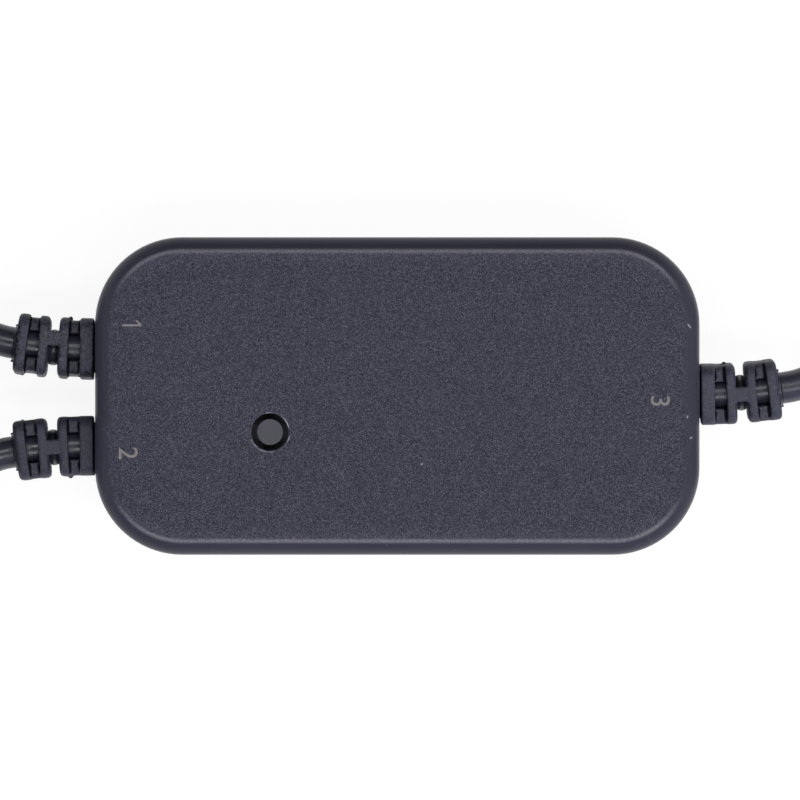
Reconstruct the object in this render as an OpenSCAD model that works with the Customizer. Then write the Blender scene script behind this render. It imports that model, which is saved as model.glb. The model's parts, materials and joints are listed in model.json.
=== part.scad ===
// Garage door controller: a flat two-part case with one push button and three moulded-on leads.
// The case lies on z = 0 with its button face up. +X points to the power lead, and +Y is the side
// of the sensor lead. Two leads leave on the left and one on the right, each put away in a coil.

/* [Case] */
// Length of the case
case_l = 66.6; // [62:0.1:80]
// Width of the case
case_w = 35; // [33:0.1:45]
// Height of the closed case
case_h = 14; // [13.5:0.1:18]
// Radius of the corners in plan
corner_r = 9.6; // [7:0.1:12]
// Thickness of the side walls
wall = 2; // [1.8:0.1:2.4]
// Thickness of the button face
roof_t = 2; // [1.4:0.1:2.2]
// Thickness of the underside
floor_t = 2; // [1.4:0.1:2.4]
// Radius of the rounding between the button face and the sides
edge_r = 2.5; // [1.6:0.1:3]
// Width of that rounding seen from above
edge_w = 1.55; // [0.8:0.05:1.6]
// Radius of the lower edge
foot_r = 1.2; // [0.5:0.1:1.8]
// Height of the locating lip above the seam
lip_h = 1.2; // [0.9:0.1:1.8]
// Thickness of the locating lip
lip_t = 0.9; // [0.7:0.05:1.1]
// Length of each snap ridge on the lip
ridge_l = 8; // [4:0.5:12]
// How far a snap ridge stands out of the lip
ridge_out = 0.25; // [0.1:0.05:0.4]

/* [Button] */
// Place of the button along the case
button_x = -14; // [-16:0.1:-12.5]
// Place of the button across the case
button_y = -3.95; // [-4.2:0.05:-3]
// Diameter of the button cap
button_d = 2.9; // [2:0.1:3.4]
// Diameter of the hole for the button
button_hole_d = 4.1; // [3.8:0.1:4.8]
// Chamfer at the rim of that hole
button_hole_chamfer = 0.12; // [0.05:0.01:0.3]
// Depth of the cap below the face
button_drop = 0.15; // [0:0.05:0.6]
// Travel of the button
button_travel = 0.25; // [0.15:0.01:0.3]
// Diameter of the flange that keeps the cap in the case
button_flange_d = 5.4; // [5:0.1:5.8]
// Thickness of that flange above the plunger
button_flange_t = 1; // [0.6:0.1:1.3]

/* [Strain reliefs] */
// Place of the sensor lead across the case
sensor_y = 5.2; // [4.6:0.1:6.5]
// Place of the opener lead across the case, on the other side of the middle
opener_y = 5.5; // [4.6:0.1:6.5]
// Place of the power lead across the case
power_y = 0.2; // [0:0.1:2]
// Turn of the sensor lead's relief about its own length
sensor_roll = -4; // [-30:1:30]
// Turn of the opener lead's relief about its own length
opener_roll = 1; // [-30:1:30]
// Turn of the power lead's relief about its own length
power_roll = 4; // [-30:1:30]
// Width of the ribs
relief_w = 6.6; // [6:0.1:7.2]
// Rounding of the ribs seen along the lead
relief_round = 1.6; // [1.2:0.1:2.4]
// Length of the rib beside the case
rib_1 = 1.5; // [1:0.05:2]
// Length of the second rib
rib_2 = 1.1; // [0.8:0.05:1.6]
// Length of the third rib
rib_3 = 1.1; // [0.8:0.05:1.6]
// Length of the rib at the far end
rib_4 = 1.25; // [0.8:0.05:1.8]
// Width of the slanted outer edge of that rib
nose = 0.4; // [0.1:0.05:0.6]
// Length of the first and the last slot, which open up and down
slot_l = 1.3; // [0.8:0.05:1.5]
// Width of those slots
slot_w = 3; // [2:0.05:3.2]
// Length of the middle slot, which opens to the sides
middle_slot_l = 1.1; // [0.8:0.05:1.5]
// Width of the bridge across the middle slot
bridge_w = 1.55; // [1:0.05:2]
// Place of that bridge across the sensor lead's relief
sensor_bridge_y = 0.8; // [-0.8:0.05:0.8]
// How far the side walls of the sensor lead's relief stand back from its ribs
sensor_step = 0.3; // [0.05:0.05:0.6]
// How far the side walls of the other two reliefs stand back from their ribs
plain_step = 0.05; // [0.05:0.05:0.6]
// How far those walls lie below the top of the ribs
wall_drop = 0.7; // [0.1:0.05:0.9]
// How far the bridge stands back from the ribs
bridge_step = 0.05; // [0.05:0.05:0.4]
// Diameter of the sleeve around the lead
sleeve_d = 4; // [3.9:0.05:4.4]
// Length of the sleeve beyond the last rib
sleeve_end = 0.3; // [0.1:0.05:0.8]
// Diameter of the neck in the wall
neck_d = 5.2; // [4.8:0.1:5.6]
// Gap between the wall and the first rib
neck_gap = 0.25; // [0.1:0.05:0.5]
// Diameter of the flange inside the wall
relief_flange_d = 7.4; // [6.6:0.1:8.4]
// Thickness of that flange
relief_flange_t = 1.4; // [0.8:0.1:1.8]
// Radius to which a relief bends sideways
bend_r = 62; // [50:1:200]

/* [Leads] */
// Diameter of a lead
lead_d = 3.5; // [3:0.1:3.6]
// Length of each lead outside its relief
lead_length = 500; // [440:5:520]
// Diameter of an insulated core in a lead
wire_d = 1.3; // [0.9:0.05:1.45]
// Distance between the two cores of a lead
wire_pitch = 1.5; // [1.46:0.02:1.7]
// Diameter of the bare strands
strand_d = 0.8; // [0.4:0.05:0.9]
// Length of the insulated cores at a free end
core_end_l = 13; // [8:0.5:16]
// Length of the stripped strands at a free end
strip_l = 5; // [3:0.5:8]
// Radius to which the free cores bend
core_end_r = 17; // [14:0.5:20]
// Radius of the outermost turn of a coil
coil_r = 21.5; // [21:0.1:22.5]
// Gap between neighbouring turns
turn_gap = 0.5; // [0.45:0.01:0.6]
// Distance of the left coils' middle from the case
left_coil_x = 37.5; // [37:0.1:39]
// Distance of the right coil's middle from the case
right_coil_x = 40; // [39.5:0.1:42]
// Width of a tie
tie_w = 4; // [2:0.5:6]
// Thickness of a tie
tie_t = 0.5; // [0.3:0.05:0.8]

/* [Power socket] */
// Diameter of the socket's body
socket_d = 10; // [9:0.1:11]
// Length of the socket's body
socket_l = 20; // [16:0.5:22]
// Diameter of the hole for the plug
socket_bore_d = 5.7; // [5.5:0.05:6.5]
// Depth of that hole
socket_depth = 9.5; // [8:0.5:12]
// Diameter of the centre pin
socket_pin_d = 2.1; // [1.6:0.05:2.5]
// Thickness of the contact sleeve
socket_sleeve_t = 0.3; // [0.2:0.05:0.5]
// Length of the socket's tapered tail
socket_tail_l = 8; // [6:0.5:10]

/* [Circuit board] */
// Length of the board
board_l = 53; // [52.5:0.1:54]
// Width of the board
board_w = 28; // [27.6:0.1:29]
// Thickness of the board
board_t = 1.2; // [1:0.1:1.6]
// Radius of the board's corners
board_r = 3; // [1:0.1:4]
// Height of the posts that carry the board
post_h = 2; // [1.5:0.1:2.2]
// Diameter of the posts
post_d = 4.4; // [4:0.1:5]
// Diameter of the board screws
screw_d = 2; // [1.6:0.1:2.2]
// Length of the screw below the board
screw_l = 2.4; // [1.5:0.1:3]
// Diameter of the screw heads
screw_head_d = 3.6; // [3.2:0.1:4]
// Height of the screw heads
screw_head_h = 1.3; // [0.9:0.1:1.6]
// Distance of the solder pads from the board's end
pad_in = 1.7; // [1.2:0.1:2]

/* [Push switch] */
// Width of the switch
switch_w = 6; // [5.6:0.1:6.2]
// Height of its moulded base
switch_h = 3.1; // [2.8:0.1:3.3]
// Thickness of its steel cover
switch_cover_t = 0.3; // [0.2:0.05:0.4]
// Diameter of the plunger
plunger_d = 3.4; // [3:0.1:3.6]
// Height of the plunger above the cover
plunger_h = 0.9; // [0.85:0.05:1.1]
// Diameter of the well in the base
well_d = 4.6; // [4.4:0.1:4.9]
// Height of the snap dome
dome_h = 0.4; // [0.35:0.01:0.5]
// Thickness of the snap dome
dome_t = 0.1; // [0.06:0.01:0.14]

/* [Parts on the board] */
// Length of the radio module
radio_l = 24; // [22:0.1:24.6]
// Width of the radio module
radio_w = 16; // [15:0.1:16.4]
// Thickness of the radio module's board
radio_t = 0.8; // [0.6:0.1:1]
// Length of the radio module's shield
shield_l = 15; // [13:0.1:16]
// Width of the radio module's shield
shield_w = 12.4; // [11:0.1:13.4]
// Height of the radio module's shield
shield_h = 2.4; // [1.8:0.1:2.8]
// Thickness of the shield's sheet
shield_t = 0.2; // [0.15:0.01:0.3]
// Length of the relay
relay_l = 10; // [8:0.1:10.4]
// Width of the relay
relay_w = 6.5; // [5.6:0.1:6.6]
// Height of the relay
relay_h = 5; // [4:0.1:5.4]
// Diameter of the larger capacitor
capacitor_d = 6.3; // [5:0.1:6.4]
// Height of the capacitors
capacitor_h = 5.4; // [4:0.1:5.8]
// Width of the power inductor
inductor_w = 5.8; // [5:0.1:6]
// Height of the power inductor
inductor_h = 3; // [2:0.1:4]

/* [Hidden] */
$fn = 64;
SENSOR = 0;
OPENER = 1;
POWER = 2;
LEADS = [SENSOR, OPENER, POWER];

// Clearances between pieces that fit together, and how far shapes run into or past each other
fit = 0.08;
bore_gap = 0.03;
rest_gap = 0.3;
floor_gap = 0.1;
sink = 0.2;
past = 1;

// Levels of the case and of the board in it
seam_z = case_h / 2;
roof_z = case_h - roof_t;
board_z = floor_t + post_h;
board_top = board_z + board_t;
edge_drop = sqrt(edge_r * edge_r - (edge_r - edge_w) * (edge_r - edge_w));
corner_x = case_l / 2 - corner_r;
corner_y = case_w / 2 - corner_r;
ridge_h = 0.4;
ridge_up = 0.5;
ridge_places = [[-14, 1], [14, 1], [-14, -1], [14, -1]];

// Places on the board
screw_places = [[-23, 11], [23.4, -11]];
rest_places = [[-23, -11], [23.4, 11]];
radio_place = [8.3, 0.8];
relay_place = [-6, -9.9];
regulator_place = [19.6, 0.4];
inductor_place = [19.4, -6.8];
capacitor_places = [[20.4, 8.2], [-4.6, 9.6]];
diode_place = [-4.6, 3.6];
led_place = [-20, -0.6];
resistor_places = [[-20.4, 8.6], [-20.4, 7], [-17.6, 8.6], [-17.6, 7],
    [-8.7, -0.4], [-8.7, -2], [-8.7, -3.6], [-20.2, -8.4]];
ceramic_places = [[-12.6, 6.4], [-12.6, 8.2], [-20.2, -10.2], [-17.2, -10.2], [22.6, 4.2]];

// Parts on the board, as length, width and height
chip_size = [1.6, 0.8, 0.5];
radio_chip_size = [5, 5, 0.9];
regulator_size = [3.9, 4.9, 1.5];
diode_size = [4.2, 2.6, 2];
terminal_size = [3.8, 1.6, 0.2];

// Their legs, as width, height and reach along the board, with the distance from leg to leg
leg_t = 0.2;
leg_steps = [-1.5, -0.5, 0.5, 1.5];
switch_leg = [0.7, 1, 0.9];
switch_leg_pitch = 4.2;
relay_leg = [0.5, 0.9, 0.6];
relay_leg_pitch = 2.2;
regulator_leg = [0.4, 0.7, 0.9];
regulator_leg_pitch = 1.27;
diode_leg = [1.5, 1.2, 0.5];

// Roundings and small features of these parts
switch_r = 0.5;
relay_r = 0.4;
inductor_r = 1.2;
shield_r = 0.6;
screw_slot_l = 2.2;
screw_slot_t = 0.4;
small_capacitor_d = 5;
capacitor_sizes = [capacitor_d, small_capacitor_d];
capacitor_base_h = 1.1;
capacitor_base_out = 0.1;
capacitor_base_r = 0.8;

// Antenna trace and shield on the radio module
radio_margin = 0.8;
shield_y = shield_l / 2 + radio_margin - radio_l / 2;
trace_w = 0.6;
trace_t = 0.1;
trace_pitch = 2;
trace_l = 4;
trace_legs = 7;

// Levels of the push switch and of the button on it
switch_top = board_top + switch_h;
cover_top = switch_top + switch_cover_t;
plunger_top = cover_top + plunger_h;
shoulder_h = 0.7;
shoulder_gap = 0.15;
shoulder_d = well_d - 2 * shoulder_gap;
well_z = switch_top - fit - shoulder_h - dome_h;
cap_socket_h = plunger_h - button_travel - fit;
cap_top = case_h - button_drop;
cover_hole_gap = 0.1;
cover_hole_d = plunger_d + 2 * cover_hole_gap;
dome_gap = 0.2;
dome_d = well_d - 2 * dome_gap;
dome_ball = (dome_d * dome_d / 4 + dome_h * dome_h) / (2 * dome_h);

// Stations along a strain relief, measured from the wall
rib_start = neck_gap;
slot_1 = rib_start + rib_1;
rib_2_start = slot_1 + slot_l;
slot_2 = rib_2_start + rib_2;
rib_3_start = slot_2 + middle_slot_l;
slot_3 = rib_3_start + rib_3;
rib_4_start = slot_3 + slot_l;
relief_end = rib_4_start + rib_4 + sleeve_end;
jacket_in = 0.6;
stub_in = wall + fit + relief_flange_t + jacket_in;
end_turn = relief_end / bend_r * 180 / PI;
lead_exit = [bend_r * sin(end_turn), bend_r * (1 - cos(end_turn)), seam_z];
exit_dir = [cos(end_turn), sin(end_turn), 0];
lead_y = [sensor_y, opener_y, power_y];
relief_roll = [sensor_roll, opener_roll, power_roll];
side_step = [sensor_step, plain_step, plain_step];
bridge_y = [sensor_bridge_y, 0, 0];

// Inner cores, from the end of the jacket to the pads at the board's end
pad_x = case_l / 2 - board_l / 2 + pad_in;
wire_foot = 0.4;
wire_bend = seam_z - board_top - wire_foot;
solder_h = 0.7;
solder_d = 1.46;

// Coils: where each starts round its middle, and the levels of its two layers
turn_pitch = lead_d + turn_gap;
coil_floor = tie_t + rest_gap + lead_d / 2;
coil_start = [140, 110, 125];
coil_x = [left_coil_x, left_coil_x, right_coil_x];
coil_levels = [[1, 0], [2, 3], [0, 1]];
loop_rings = 24;
loop_sides = 6;
lead_sides = 8;
core_rings = 8;
tip_rings = 4;
tie_corner = 1;

// Routes from the relief to the coil, chosen by hand: out from the wall, sideways, above the floor
sensor_route = [[11.2, 1.2, 7], [13.6, 2.1, 6.9], [15.8, 3.4, 6.7], [17.4, 4.6, 6.6]];
opener_route = [[11.3, 1.2, 7.1], [13.8, 2.4, 7.3], [16.3, 4.4, 7.8], [18.8, 6.8, 8.5], [21.4, 9.2, 9.3],
    [24, 11.6, 10.1]];
power_route = [[11.4, 1.15, 6.7], [13.9, 2.25, 6], [16.2, 4.1, 5], [18.2, 6.7, 3.75], [20.2, 9.7, 3],
    [22.4, 12.7, 2.65]];
lead_routes = [sensor_route, opener_route, power_route];
// Route from the power coil up to the socket on top of it, from the coil's middle and its end
tail_route = [[21, -6.6, 7.6], [19.2, -10, 9.4], [16.2, -12.8, 11.3], [12.4, -14.3, 12.8]];
socket_x = 8.4;
socket_y = -14.6;
socket_z = coil_z(1) + lead_d / 2 + rest_gap + socket_d / 2;
socket_front = socket_tail_l + socket_l;
socket_tail_wall = 0.75;
socket_shoulder = 1;
socket_sleeve_in = 0.5;
socket_pin_in = 1;

function coil_z(level) = coil_floor + level * turn_pitch;
function coil_middle(i) = [coil_x[i], -lead_y[i], 0];
function polar(r, a) = [r * cos(a), r * sin(a), 0];
function clockwise(a) = [sin(a), -cos(a), 0];
function unit(v) = v / norm(v);
function path_length(path, i = 0) =
    i >= len(path) - 1 ? 0 : norm(path[i + 1] - path[i]) + path_length(path, i + 1);

// One lead: its free stretch, then its coil, which spirals in on one layer and out on the other
function coil_entry(i) = coil_middle(i) + polar(coil_r, coil_start[i])
    - lead_d * clockwise(coil_start[i]) + [0, 0, coil_z(coil_levels[i][0])];
function lead_path(i) = concat([lead_exit], lead_routes[i], [coil_entry(i)]);
function tail_length(i) = i == POWER ? path_length(tail_path()) : 0;
function coil_length(i) = lead_length - path_length(lead_path(i)) - 2 * lead_d - tail_length(i);
function turns(i) = let (spent = turn_pitch * coil_length(i) / (2 * PI))
    (coil_r - sqrt(coil_r * coil_r - spent)) * 2 / turn_pitch;
function turn_radius(t, all) = coil_r - turn_pitch * (all / 2 - abs(t - all / 2));
function ease(u) = let (v = max(0, min(1, u))) v * v * (3 - 2 * v);
function turn_z(t, all, levels) =
    coil_z(levels[0]) + (levels[1] - levels[0]) * turn_pitch * ease((t - all / 2) * 2 + 0.5);
function coil_point(i, t, all) = polar(turn_radius(t, all), coil_start[i] - 360 * t)
    + [0, 0, turn_z(t, all, coil_levels[i])];
function end_angle(i) = coil_start[i] - 360 * turns(i);
function coil_path(i) = let (
    all = turns(i),
    steps = round(all * loop_rings),
    first = coil_point(i, 0, all),
    last = coil_point(i, all, all))
    concat([first - lead_d * clockwise(coil_start[i])],
        [for (k = [0:steps]) coil_point(i, all * k / steps, all)],
        [last + lead_d * clockwise(end_angle(i))]);
function least_gap(path) = min([for (a = [0:len(path) - 1])
    for (b = [a + loop_rings / 2:1:len(path) - 1]) norm(path[a] - path[b])]) - lead_d;
function tail_path() = concat([[coil_r, -lead_d, coil_z(coil_levels[POWER][1])]], tail_route,
    [[socket_x, socket_y, socket_z]]);
// Radii of the turns that pass the side of a coil that faces the case
function tied_radii(i) = let (all = turns(i), f = (coil_start[i] + 180) / 360)
    [for (k = [0:ceil(all)]) if (f + k <= all) turn_radius(f + k, all)];
// The free cores go on along the last turn and settle on what is under them
function core_end_z(i) =
    i == SENSOR ? wire_d / 2 + floor_gap : coil_z(coil_levels[i][1]) - (lead_d - wire_d) / 2;
function core_end_point(i, side, l) = let (
    r = core_end_r + side * wire_pitch / 2,
    a = l / core_end_r * 180 / PI,
    z = coil_z(coil_levels[i][1]))
    [coil_r - core_end_r + r * cos(a), -lead_d - r * sin(a),
        z + (core_end_z(i) - z) * ease(l / core_end_l)];
function core_end_dir(l) = clockwise(-l / core_end_r * 180 / PI);
function core_end_path(i, side, l_from, l_to, steps) =
    [for (k = [0:steps]) core_end_point(i, side, l_from + (l_to - l_from) * k / steps)];

for (i = LEADS) echo(lead = i, turns = turns(i), least_gap = least_gap(coil_path(i)));

// Shapes in plan, and the outer shape of the case made of straight sides and round corners

module rounded_plan(l, w, r) {
    square([l - 2 * r, w], center = true);
    square([l, w - 2 * r], center = true);
    for (x = [-1, 1], y = [-1, 1]) translate([x * (l / 2 - r), y * (w / 2 - r)]) circle(r);
}

module case_plan(inset) {
    rounded_plan(case_l - 2 * inset, case_w - 2 * inset, corner_r - inset);
}

module around_case(z_low, z_high) {
    corners = [[1, 1], [-1, 1], [-1, -1], [1, -1]];
    for (q = [0:3])
        translate([corners[q].x * corner_x, corners[q].y * corner_y, 0])
            rotate(90 * q) rotate_extrude(angle = 90) children();
    for (turn = [0, 180]) rotate(turn) {
        translate([-corner_x, corner_y, 0]) rotate([90, 0, 90]) linear_extrude(2 * corner_x) children();
        translate([corner_x, corner_y, 0]) rotate([90, 0, 0]) linear_extrude(2 * corner_y) children();
    }
    translate([-corner_x, -corner_y, z_low]) cube([2 * corner_x, 2 * corner_y, z_high - z_low]);
}

module bottom_profile() {
    difference() {
        square([corner_r, seam_z]);
        translate([corner_r - foot_r, 0]) difference() {
            square([foot_r + past, foot_r]);
            translate([0, foot_r]) circle(foot_r);
        }
    }
}

module top_profile() {
    difference() {
        translate([0, seam_z]) square([corner_r, case_h - seam_z]);
        translate([corner_r - edge_r, case_h - edge_drop]) difference() {
            square([edge_r + past, edge_drop + past]);
            circle(edge_r);
        }
    }
}

// Places of the leads: +X leads away from the wall, and +Y is the side to which the relief bends

module at_lead(i) {
    if (i == SENSOR) translate([-case_l / 2, sensor_y, 0]) mirror([1, 0, 0]) children();
    if (i == OPENER) translate([-case_l / 2, -opener_y, 0]) rotate(180) children();
    if (i == POWER) translate([case_l / 2, power_y, 0]) children();
}

module at_coil(i) at_lead(i) translate(coil_middle(i)) children();

module at_coil_end(i) at_coil(i) rotate(end_angle(i)) children();

module along_x(d, x_from, x_to)
    translate([x_from, 0, 0]) rotate([0, 90, 0]) cylinder(d = d, h = x_to - x_from);

// Tube of n sides along a path, with square ends facing the given directions
module tube(path, d, n, dir_first, dir_last) {
    m = len(path);
    dirs = [for (i = [0:m - 1])
        i == 0 ? dir_first : i == m - 1 ? dir_last : unit(path[i + 1] - path[i - 1])];
    points = [for (i = [0:m - 1])
        let (side = unit(cross([0, 0, 1], dirs[i])), up = cross(dirs[i], side))
            for (k = [0:n - 1]) path[i] + d / 2 * (cos(360 * k / n) * side + sin(360 * k / n) * up)];
    walls = [for (i = [0:m - 2], k = [0:n - 1])
        let (a = i * n + k, b = i * n + (k + 1) % n)
            each [[a, a + n, b + n], [a, b + n, b]]];
    last = (m - 1) * n;
    ends = [for (k = [1:n - 2]) each [[0, k, k + 1], [last + k + 1, last + k, last]]];
    polyhedron(points, concat(walls, ends));
}

// Case

module relief_holes() {
    for (i = LEADS) at_lead(i) translate([0, 0, seam_z]) along_x(neck_d + 2 * fit, -wall - past, past);
}

module snap_ridges(grow) {
    for (p = ridge_places)
        translate([p.x, p.y * (case_w / 2 - wall + lip_t), seam_z + ridge_up + ridge_h / 2])
            cube([ridge_l + 2 * grow, 2 * (ridge_out + grow), ridge_h + 2 * grow], center = true);
}

module top_cover() {
    color("#44454f") difference() {
        around_case(seam_z, case_h) top_profile();
        translate([0, 0, seam_z - past]) linear_extrude(roof_z - seam_z + past) case_plan(wall);
        translate([0, 0, seam_z - past]) linear_extrude(lip_h + fit + past) case_plan(wall - lip_t - fit);
        snap_ridges(fit);
        relief_holes();
        translate([button_x, button_y, roof_z - past]) cylinder(d = button_hole_d, h = roof_t + 2 * past);
        translate([button_x, button_y, case_h - button_hole_chamfer])
            cylinder(d1 = button_hole_d, d2 = button_hole_d + 4 * button_hole_chamfer,
                h = 2 * button_hole_chamfer);
    }
}

module bottom_cover() {
    color("#44454f") difference() {
        union() {
            difference() {
                around_case(0, seam_z) bottom_profile();
                translate([0, 0, floor_t]) linear_extrude(case_h) case_plan(wall);
            }
            translate([0, 0, seam_z - sink]) linear_extrude(lip_h + sink) difference() {
                case_plan(wall - lip_t);
                case_plan(wall);
            }
            snap_ridges(0);
            for (p = concat(screw_places, rest_places))
                translate([p.x, p.y, floor_t - sink]) cylinder(d = post_d, h = post_h + sink);
        }
        relief_holes();
        for (p = screw_places)
            translate([p.x, p.y, board_z - screw_l - rest_gap])
                cylinder(d = screw_d + 2 * bore_gap, h = screw_l + rest_gap + past);
    }
}

// Button and push switch

module at_button() translate([button_x, button_y, 0]) children();

module button_cap() {
    color("#53535b") at_button() difference() {
        union() {
            translate([0, 0, plunger_top - cap_socket_h])
                cylinder(d = button_flange_d, h = cap_socket_h + button_flange_t);
            translate([0, 0, plunger_top]) cylinder(d = button_d, h = cap_top - plunger_top);
        }
        translate([0, 0, plunger_top - cap_socket_h - past])
            cylinder(d = plunger_d + 2 * bore_gap, h = cap_socket_h + past);
    }
}

module switch_plunger() {
    color("#1c1c1e") at_button() {
        translate([0, 0, switch_top - fit - sink])
            cylinder(d = plunger_d, h = plunger_top - switch_top + fit + sink);
        translate([0, 0, switch_top - fit - shoulder_h]) cylinder(d = shoulder_d, h = shoulder_h);
    }
}

module switch_base() {
    color("#202022") at_button() difference() {
        translate([0, 0, board_top]) linear_extrude(switch_h) rounded_plan(switch_w, switch_w, switch_r);
        translate([0, 0, well_z]) cylinder(d = well_d, h = switch_h);
    }
}

module switch_cover() {
    color("silver") at_button() translate([0, 0, switch_top]) linear_extrude(switch_cover_t) difference() {
        rounded_plan(switch_w, switch_w, switch_r);
        circle(d = cover_hole_d);
    }
}

module switch_dome() {
    color("silver") at_button() translate([0, 0, well_z]) rotate_extrude() intersection() {
        square([dome_d / 2, dome_h]);
        translate([0, dome_h - dome_ball]) difference() {
            circle(dome_ball, $fn = 128);
            circle(dome_ball - dome_t, $fn = 128);
        }
    }
}

// A bent leg of a part on the board: down its side, then out along the board
module board_leg(leg) {
    translate([0, -leg.x / 2, board_top]) {
        cube([leg_t, leg.x, leg.y]);
        cube([leg.z, leg.x, leg_t]);
    }
}

module switch_legs() {
    color("silver") at_button() for (turn = [0, 180], k = [-0.5, 0.5])
        rotate(turn) translate([switch_w / 2, k * switch_leg_pitch, 0]) board_leg(switch_leg);
}

// Circuit board and what it carries

module circuit_board() {
    color("#1f5a3a") difference() {
        translate([0, 0, board_z]) linear_extrude(board_t) rounded_plan(board_l, board_w, board_r);
        for (p = screw_places)
            translate([p.x, p.y, board_z - past]) cylinder(d = screw_d + 2 * fit, h = board_t + 2 * past);
        for (i = LEADS, y = [-1, 1]) at_lead(i) translate([-pad_x, y * wire_pitch / 2, board_z - past])
            cylinder(d = strand_d + 2 * fit, h = board_t + 2 * past);
    }
}

module board_screws() {
    color("gainsboro") for (p = screw_places) translate([p.x, p.y, board_top]) difference() {
        union() {
            cylinder(d = screw_head_d, h = screw_head_h);
            translate([0, 0, -board_t - screw_l]) cylinder(d = screw_d, h = board_t + screw_l + sink);
        }
        for (turn = [0, 90]) rotate(turn)
            translate([0, 0, screw_head_h]) cube([screw_slot_l, screw_slot_t, screw_head_h], center = true);
    }
}

module at_radio() translate([radio_place.x, radio_place.y, board_top]) children();

module radio_board() {
    color("#20242c") at_radio() translate([-radio_w / 2, -radio_l / 2, 0])
        cube([radio_w, radio_l, radio_t]);
}

module radio_shield() {
    color("silver") at_radio() translate([0, shield_y, radio_t]) difference() {
        linear_extrude(shield_h) rounded_plan(shield_w, shield_l, shield_r);
        translate([0, 0, -shield_t]) linear_extrude(shield_h)
            rounded_plan(shield_w - 2 * shield_t, shield_l - 2 * shield_t, shield_r - shield_t);
    }
}

module radio_chip() {
    color("#1a1a1c") at_radio() translate([0, shield_y, radio_t + radio_chip_size.z / 2])
        cube(radio_chip_size, center = true);
}

module radio_antenna() {
    color("goldenrod") at_radio()
        translate([-trace_pitch * (trace_legs - 1) / 2, radio_l / 2 - trace_l - radio_margin, radio_t])
            linear_extrude(trace_t) for (k = [0:trace_legs - 1]) {
                translate([k * trace_pitch - trace_w / 2, 0]) square([trace_w, trace_l]);
                if (k < trace_legs - 1)
                    translate([k * trace_pitch - trace_w / 2, k % 2 == 0 ? trace_l - trace_w : 0])
                        square([trace_pitch + trace_w, trace_w]);
            }
}

module at_relay() translate([relay_place.x, relay_place.y, 0]) children();

module relay_case() {
    color("#e6e6e2") at_relay() translate([0, 0, board_top])
        linear_extrude(relay_h) rounded_plan(relay_l, relay_w, relay_r);
}

module relay_legs() {
    color("silver") at_relay() for (turn = [90, 270], k = leg_steps)
        rotate(turn) translate([relay_w / 2, k * relay_leg_pitch, 0]) board_leg(relay_leg);
}

module at_regulator() translate([regulator_place.x, regulator_place.y, 0]) children();

module regulator_chip() {
    color("#1a1a1c") at_regulator() translate([0, 0, board_top + regulator_size.z / 2])
        cube(regulator_size, center = true);
}

module regulator_legs() {
    color("silver") at_regulator() for (turn = [0, 180], k = leg_steps)
        rotate(turn) translate([regulator_size.x / 2, k * regulator_leg_pitch, 0]) board_leg(regulator_leg);
}

module at_inductor() translate([inductor_place.x, inductor_place.y, board_top]) children();

module power_inductor() {
    color("#2a2b30") at_inductor() translate([0, 0, terminal_size.z])
        linear_extrude(inductor_h) rounded_plan(inductor_w, inductor_w, inductor_r);
}

module inductor_terminals() {
    color("silver") at_inductor() for (s = [-1, 1])
        translate([0, s * (inductor_w - terminal_size.y) / 2, terminal_size.z / 2])
            cube(terminal_size, center = true);
}

module at_capacitor(k) translate([capacitor_places[k].x, capacitor_places[k].y, board_top]) children();

module capacitor_bases() {
    color("#202022") for (k = [0, 1]) at_capacitor(k) {
        base_w = capacitor_sizes[k] + 2 * capacitor_base_out;
        linear_extrude(capacitor_base_h) rounded_plan(base_w, base_w, capacitor_base_r);
    }
}

module capacitor_cans() {
    color("lightgray") for (k = [0, 1]) at_capacitor(k)
        translate([0, 0, capacitor_base_h])
            cylinder(d = capacitor_sizes[k], h = capacitor_h - capacitor_base_h);
}

module at_diode() translate([diode_place.x, diode_place.y, 0]) children();

module protection_diode() {
    color("#1a1a1c") at_diode() translate([0, 0, board_top + diode_size.z / 2])
        cube(diode_size, center = true);
}

module diode_terminals() {
    color("silver") at_diode() for (turn = [0, 180])
        rotate(turn) translate([diode_size.x / 2, 0, 0]) board_leg(diode_leg);
}

module board_chip(place) {
    translate([place.x, place.y, board_top + chip_size.z / 2]) cube(chip_size, center = true);
}

module status_led() color("#f4f2e0") board_chip(led_place);

module chip_resistors() color("#18181a") for (p = resistor_places) board_chip(p);

module chip_capacitors() color("#a58a63") for (p = ceramic_places) board_chip(p);

// Inner cores of a lead, from the jacket's end to the board, and their solder joints

module inner_wire(i, side) {
    at_lead(i) translate([0, side * wire_pitch / 2, 0]) {
        translate([0, 0, seam_z]) along_x(wire_d, -pad_x + wire_bend, -stub_in);
        translate([-pad_x + wire_bend, 0, seam_z - wire_bend]) rotate([90, 0, 0]) rotate(90)
            rotate_extrude(angle = 90) translate([wire_bend, 0]) circle(d = wire_d);
        translate([-pad_x, 0, board_top]) cylinder(d = wire_d, h = seam_z - wire_bend - board_top);
    }
}

module sensor_wire_white() color("whitesmoke") inner_wire(SENSOR, 1);
module sensor_wire_black() color("#1c1c1e") inner_wire(SENSOR, -1);
module opener_wire_white() color("whitesmoke") inner_wire(OPENER, 1);
module opener_wire_black() color("#1c1c1e") inner_wire(OPENER, -1);
module power_wire_red() color("firebrick") inner_wire(POWER, 1);
module power_wire_black() color("#1c1c1e") inner_wire(POWER, -1);

module solder_joints() {
    color("silver") for (i = LEADS, side = [-1, 1]) at_lead(i)
        translate([-pad_x, side * wire_pitch / 2, board_z - solder_h]) {
            cylinder(d1 = strand_d, d2 = solder_d, h = solder_h);
            translate([0, 0, solder_h - sink]) cylinder(d = strand_d, h = board_t + sink);
        }
}

// Strain reliefs, and the jacket that runs through each of them

module at_bend(s) {
    translate([0, bend_r, 0]) rotate(s / bend_r * 180 / PI) translate([0, -bend_r, 0]) children();
}

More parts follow.
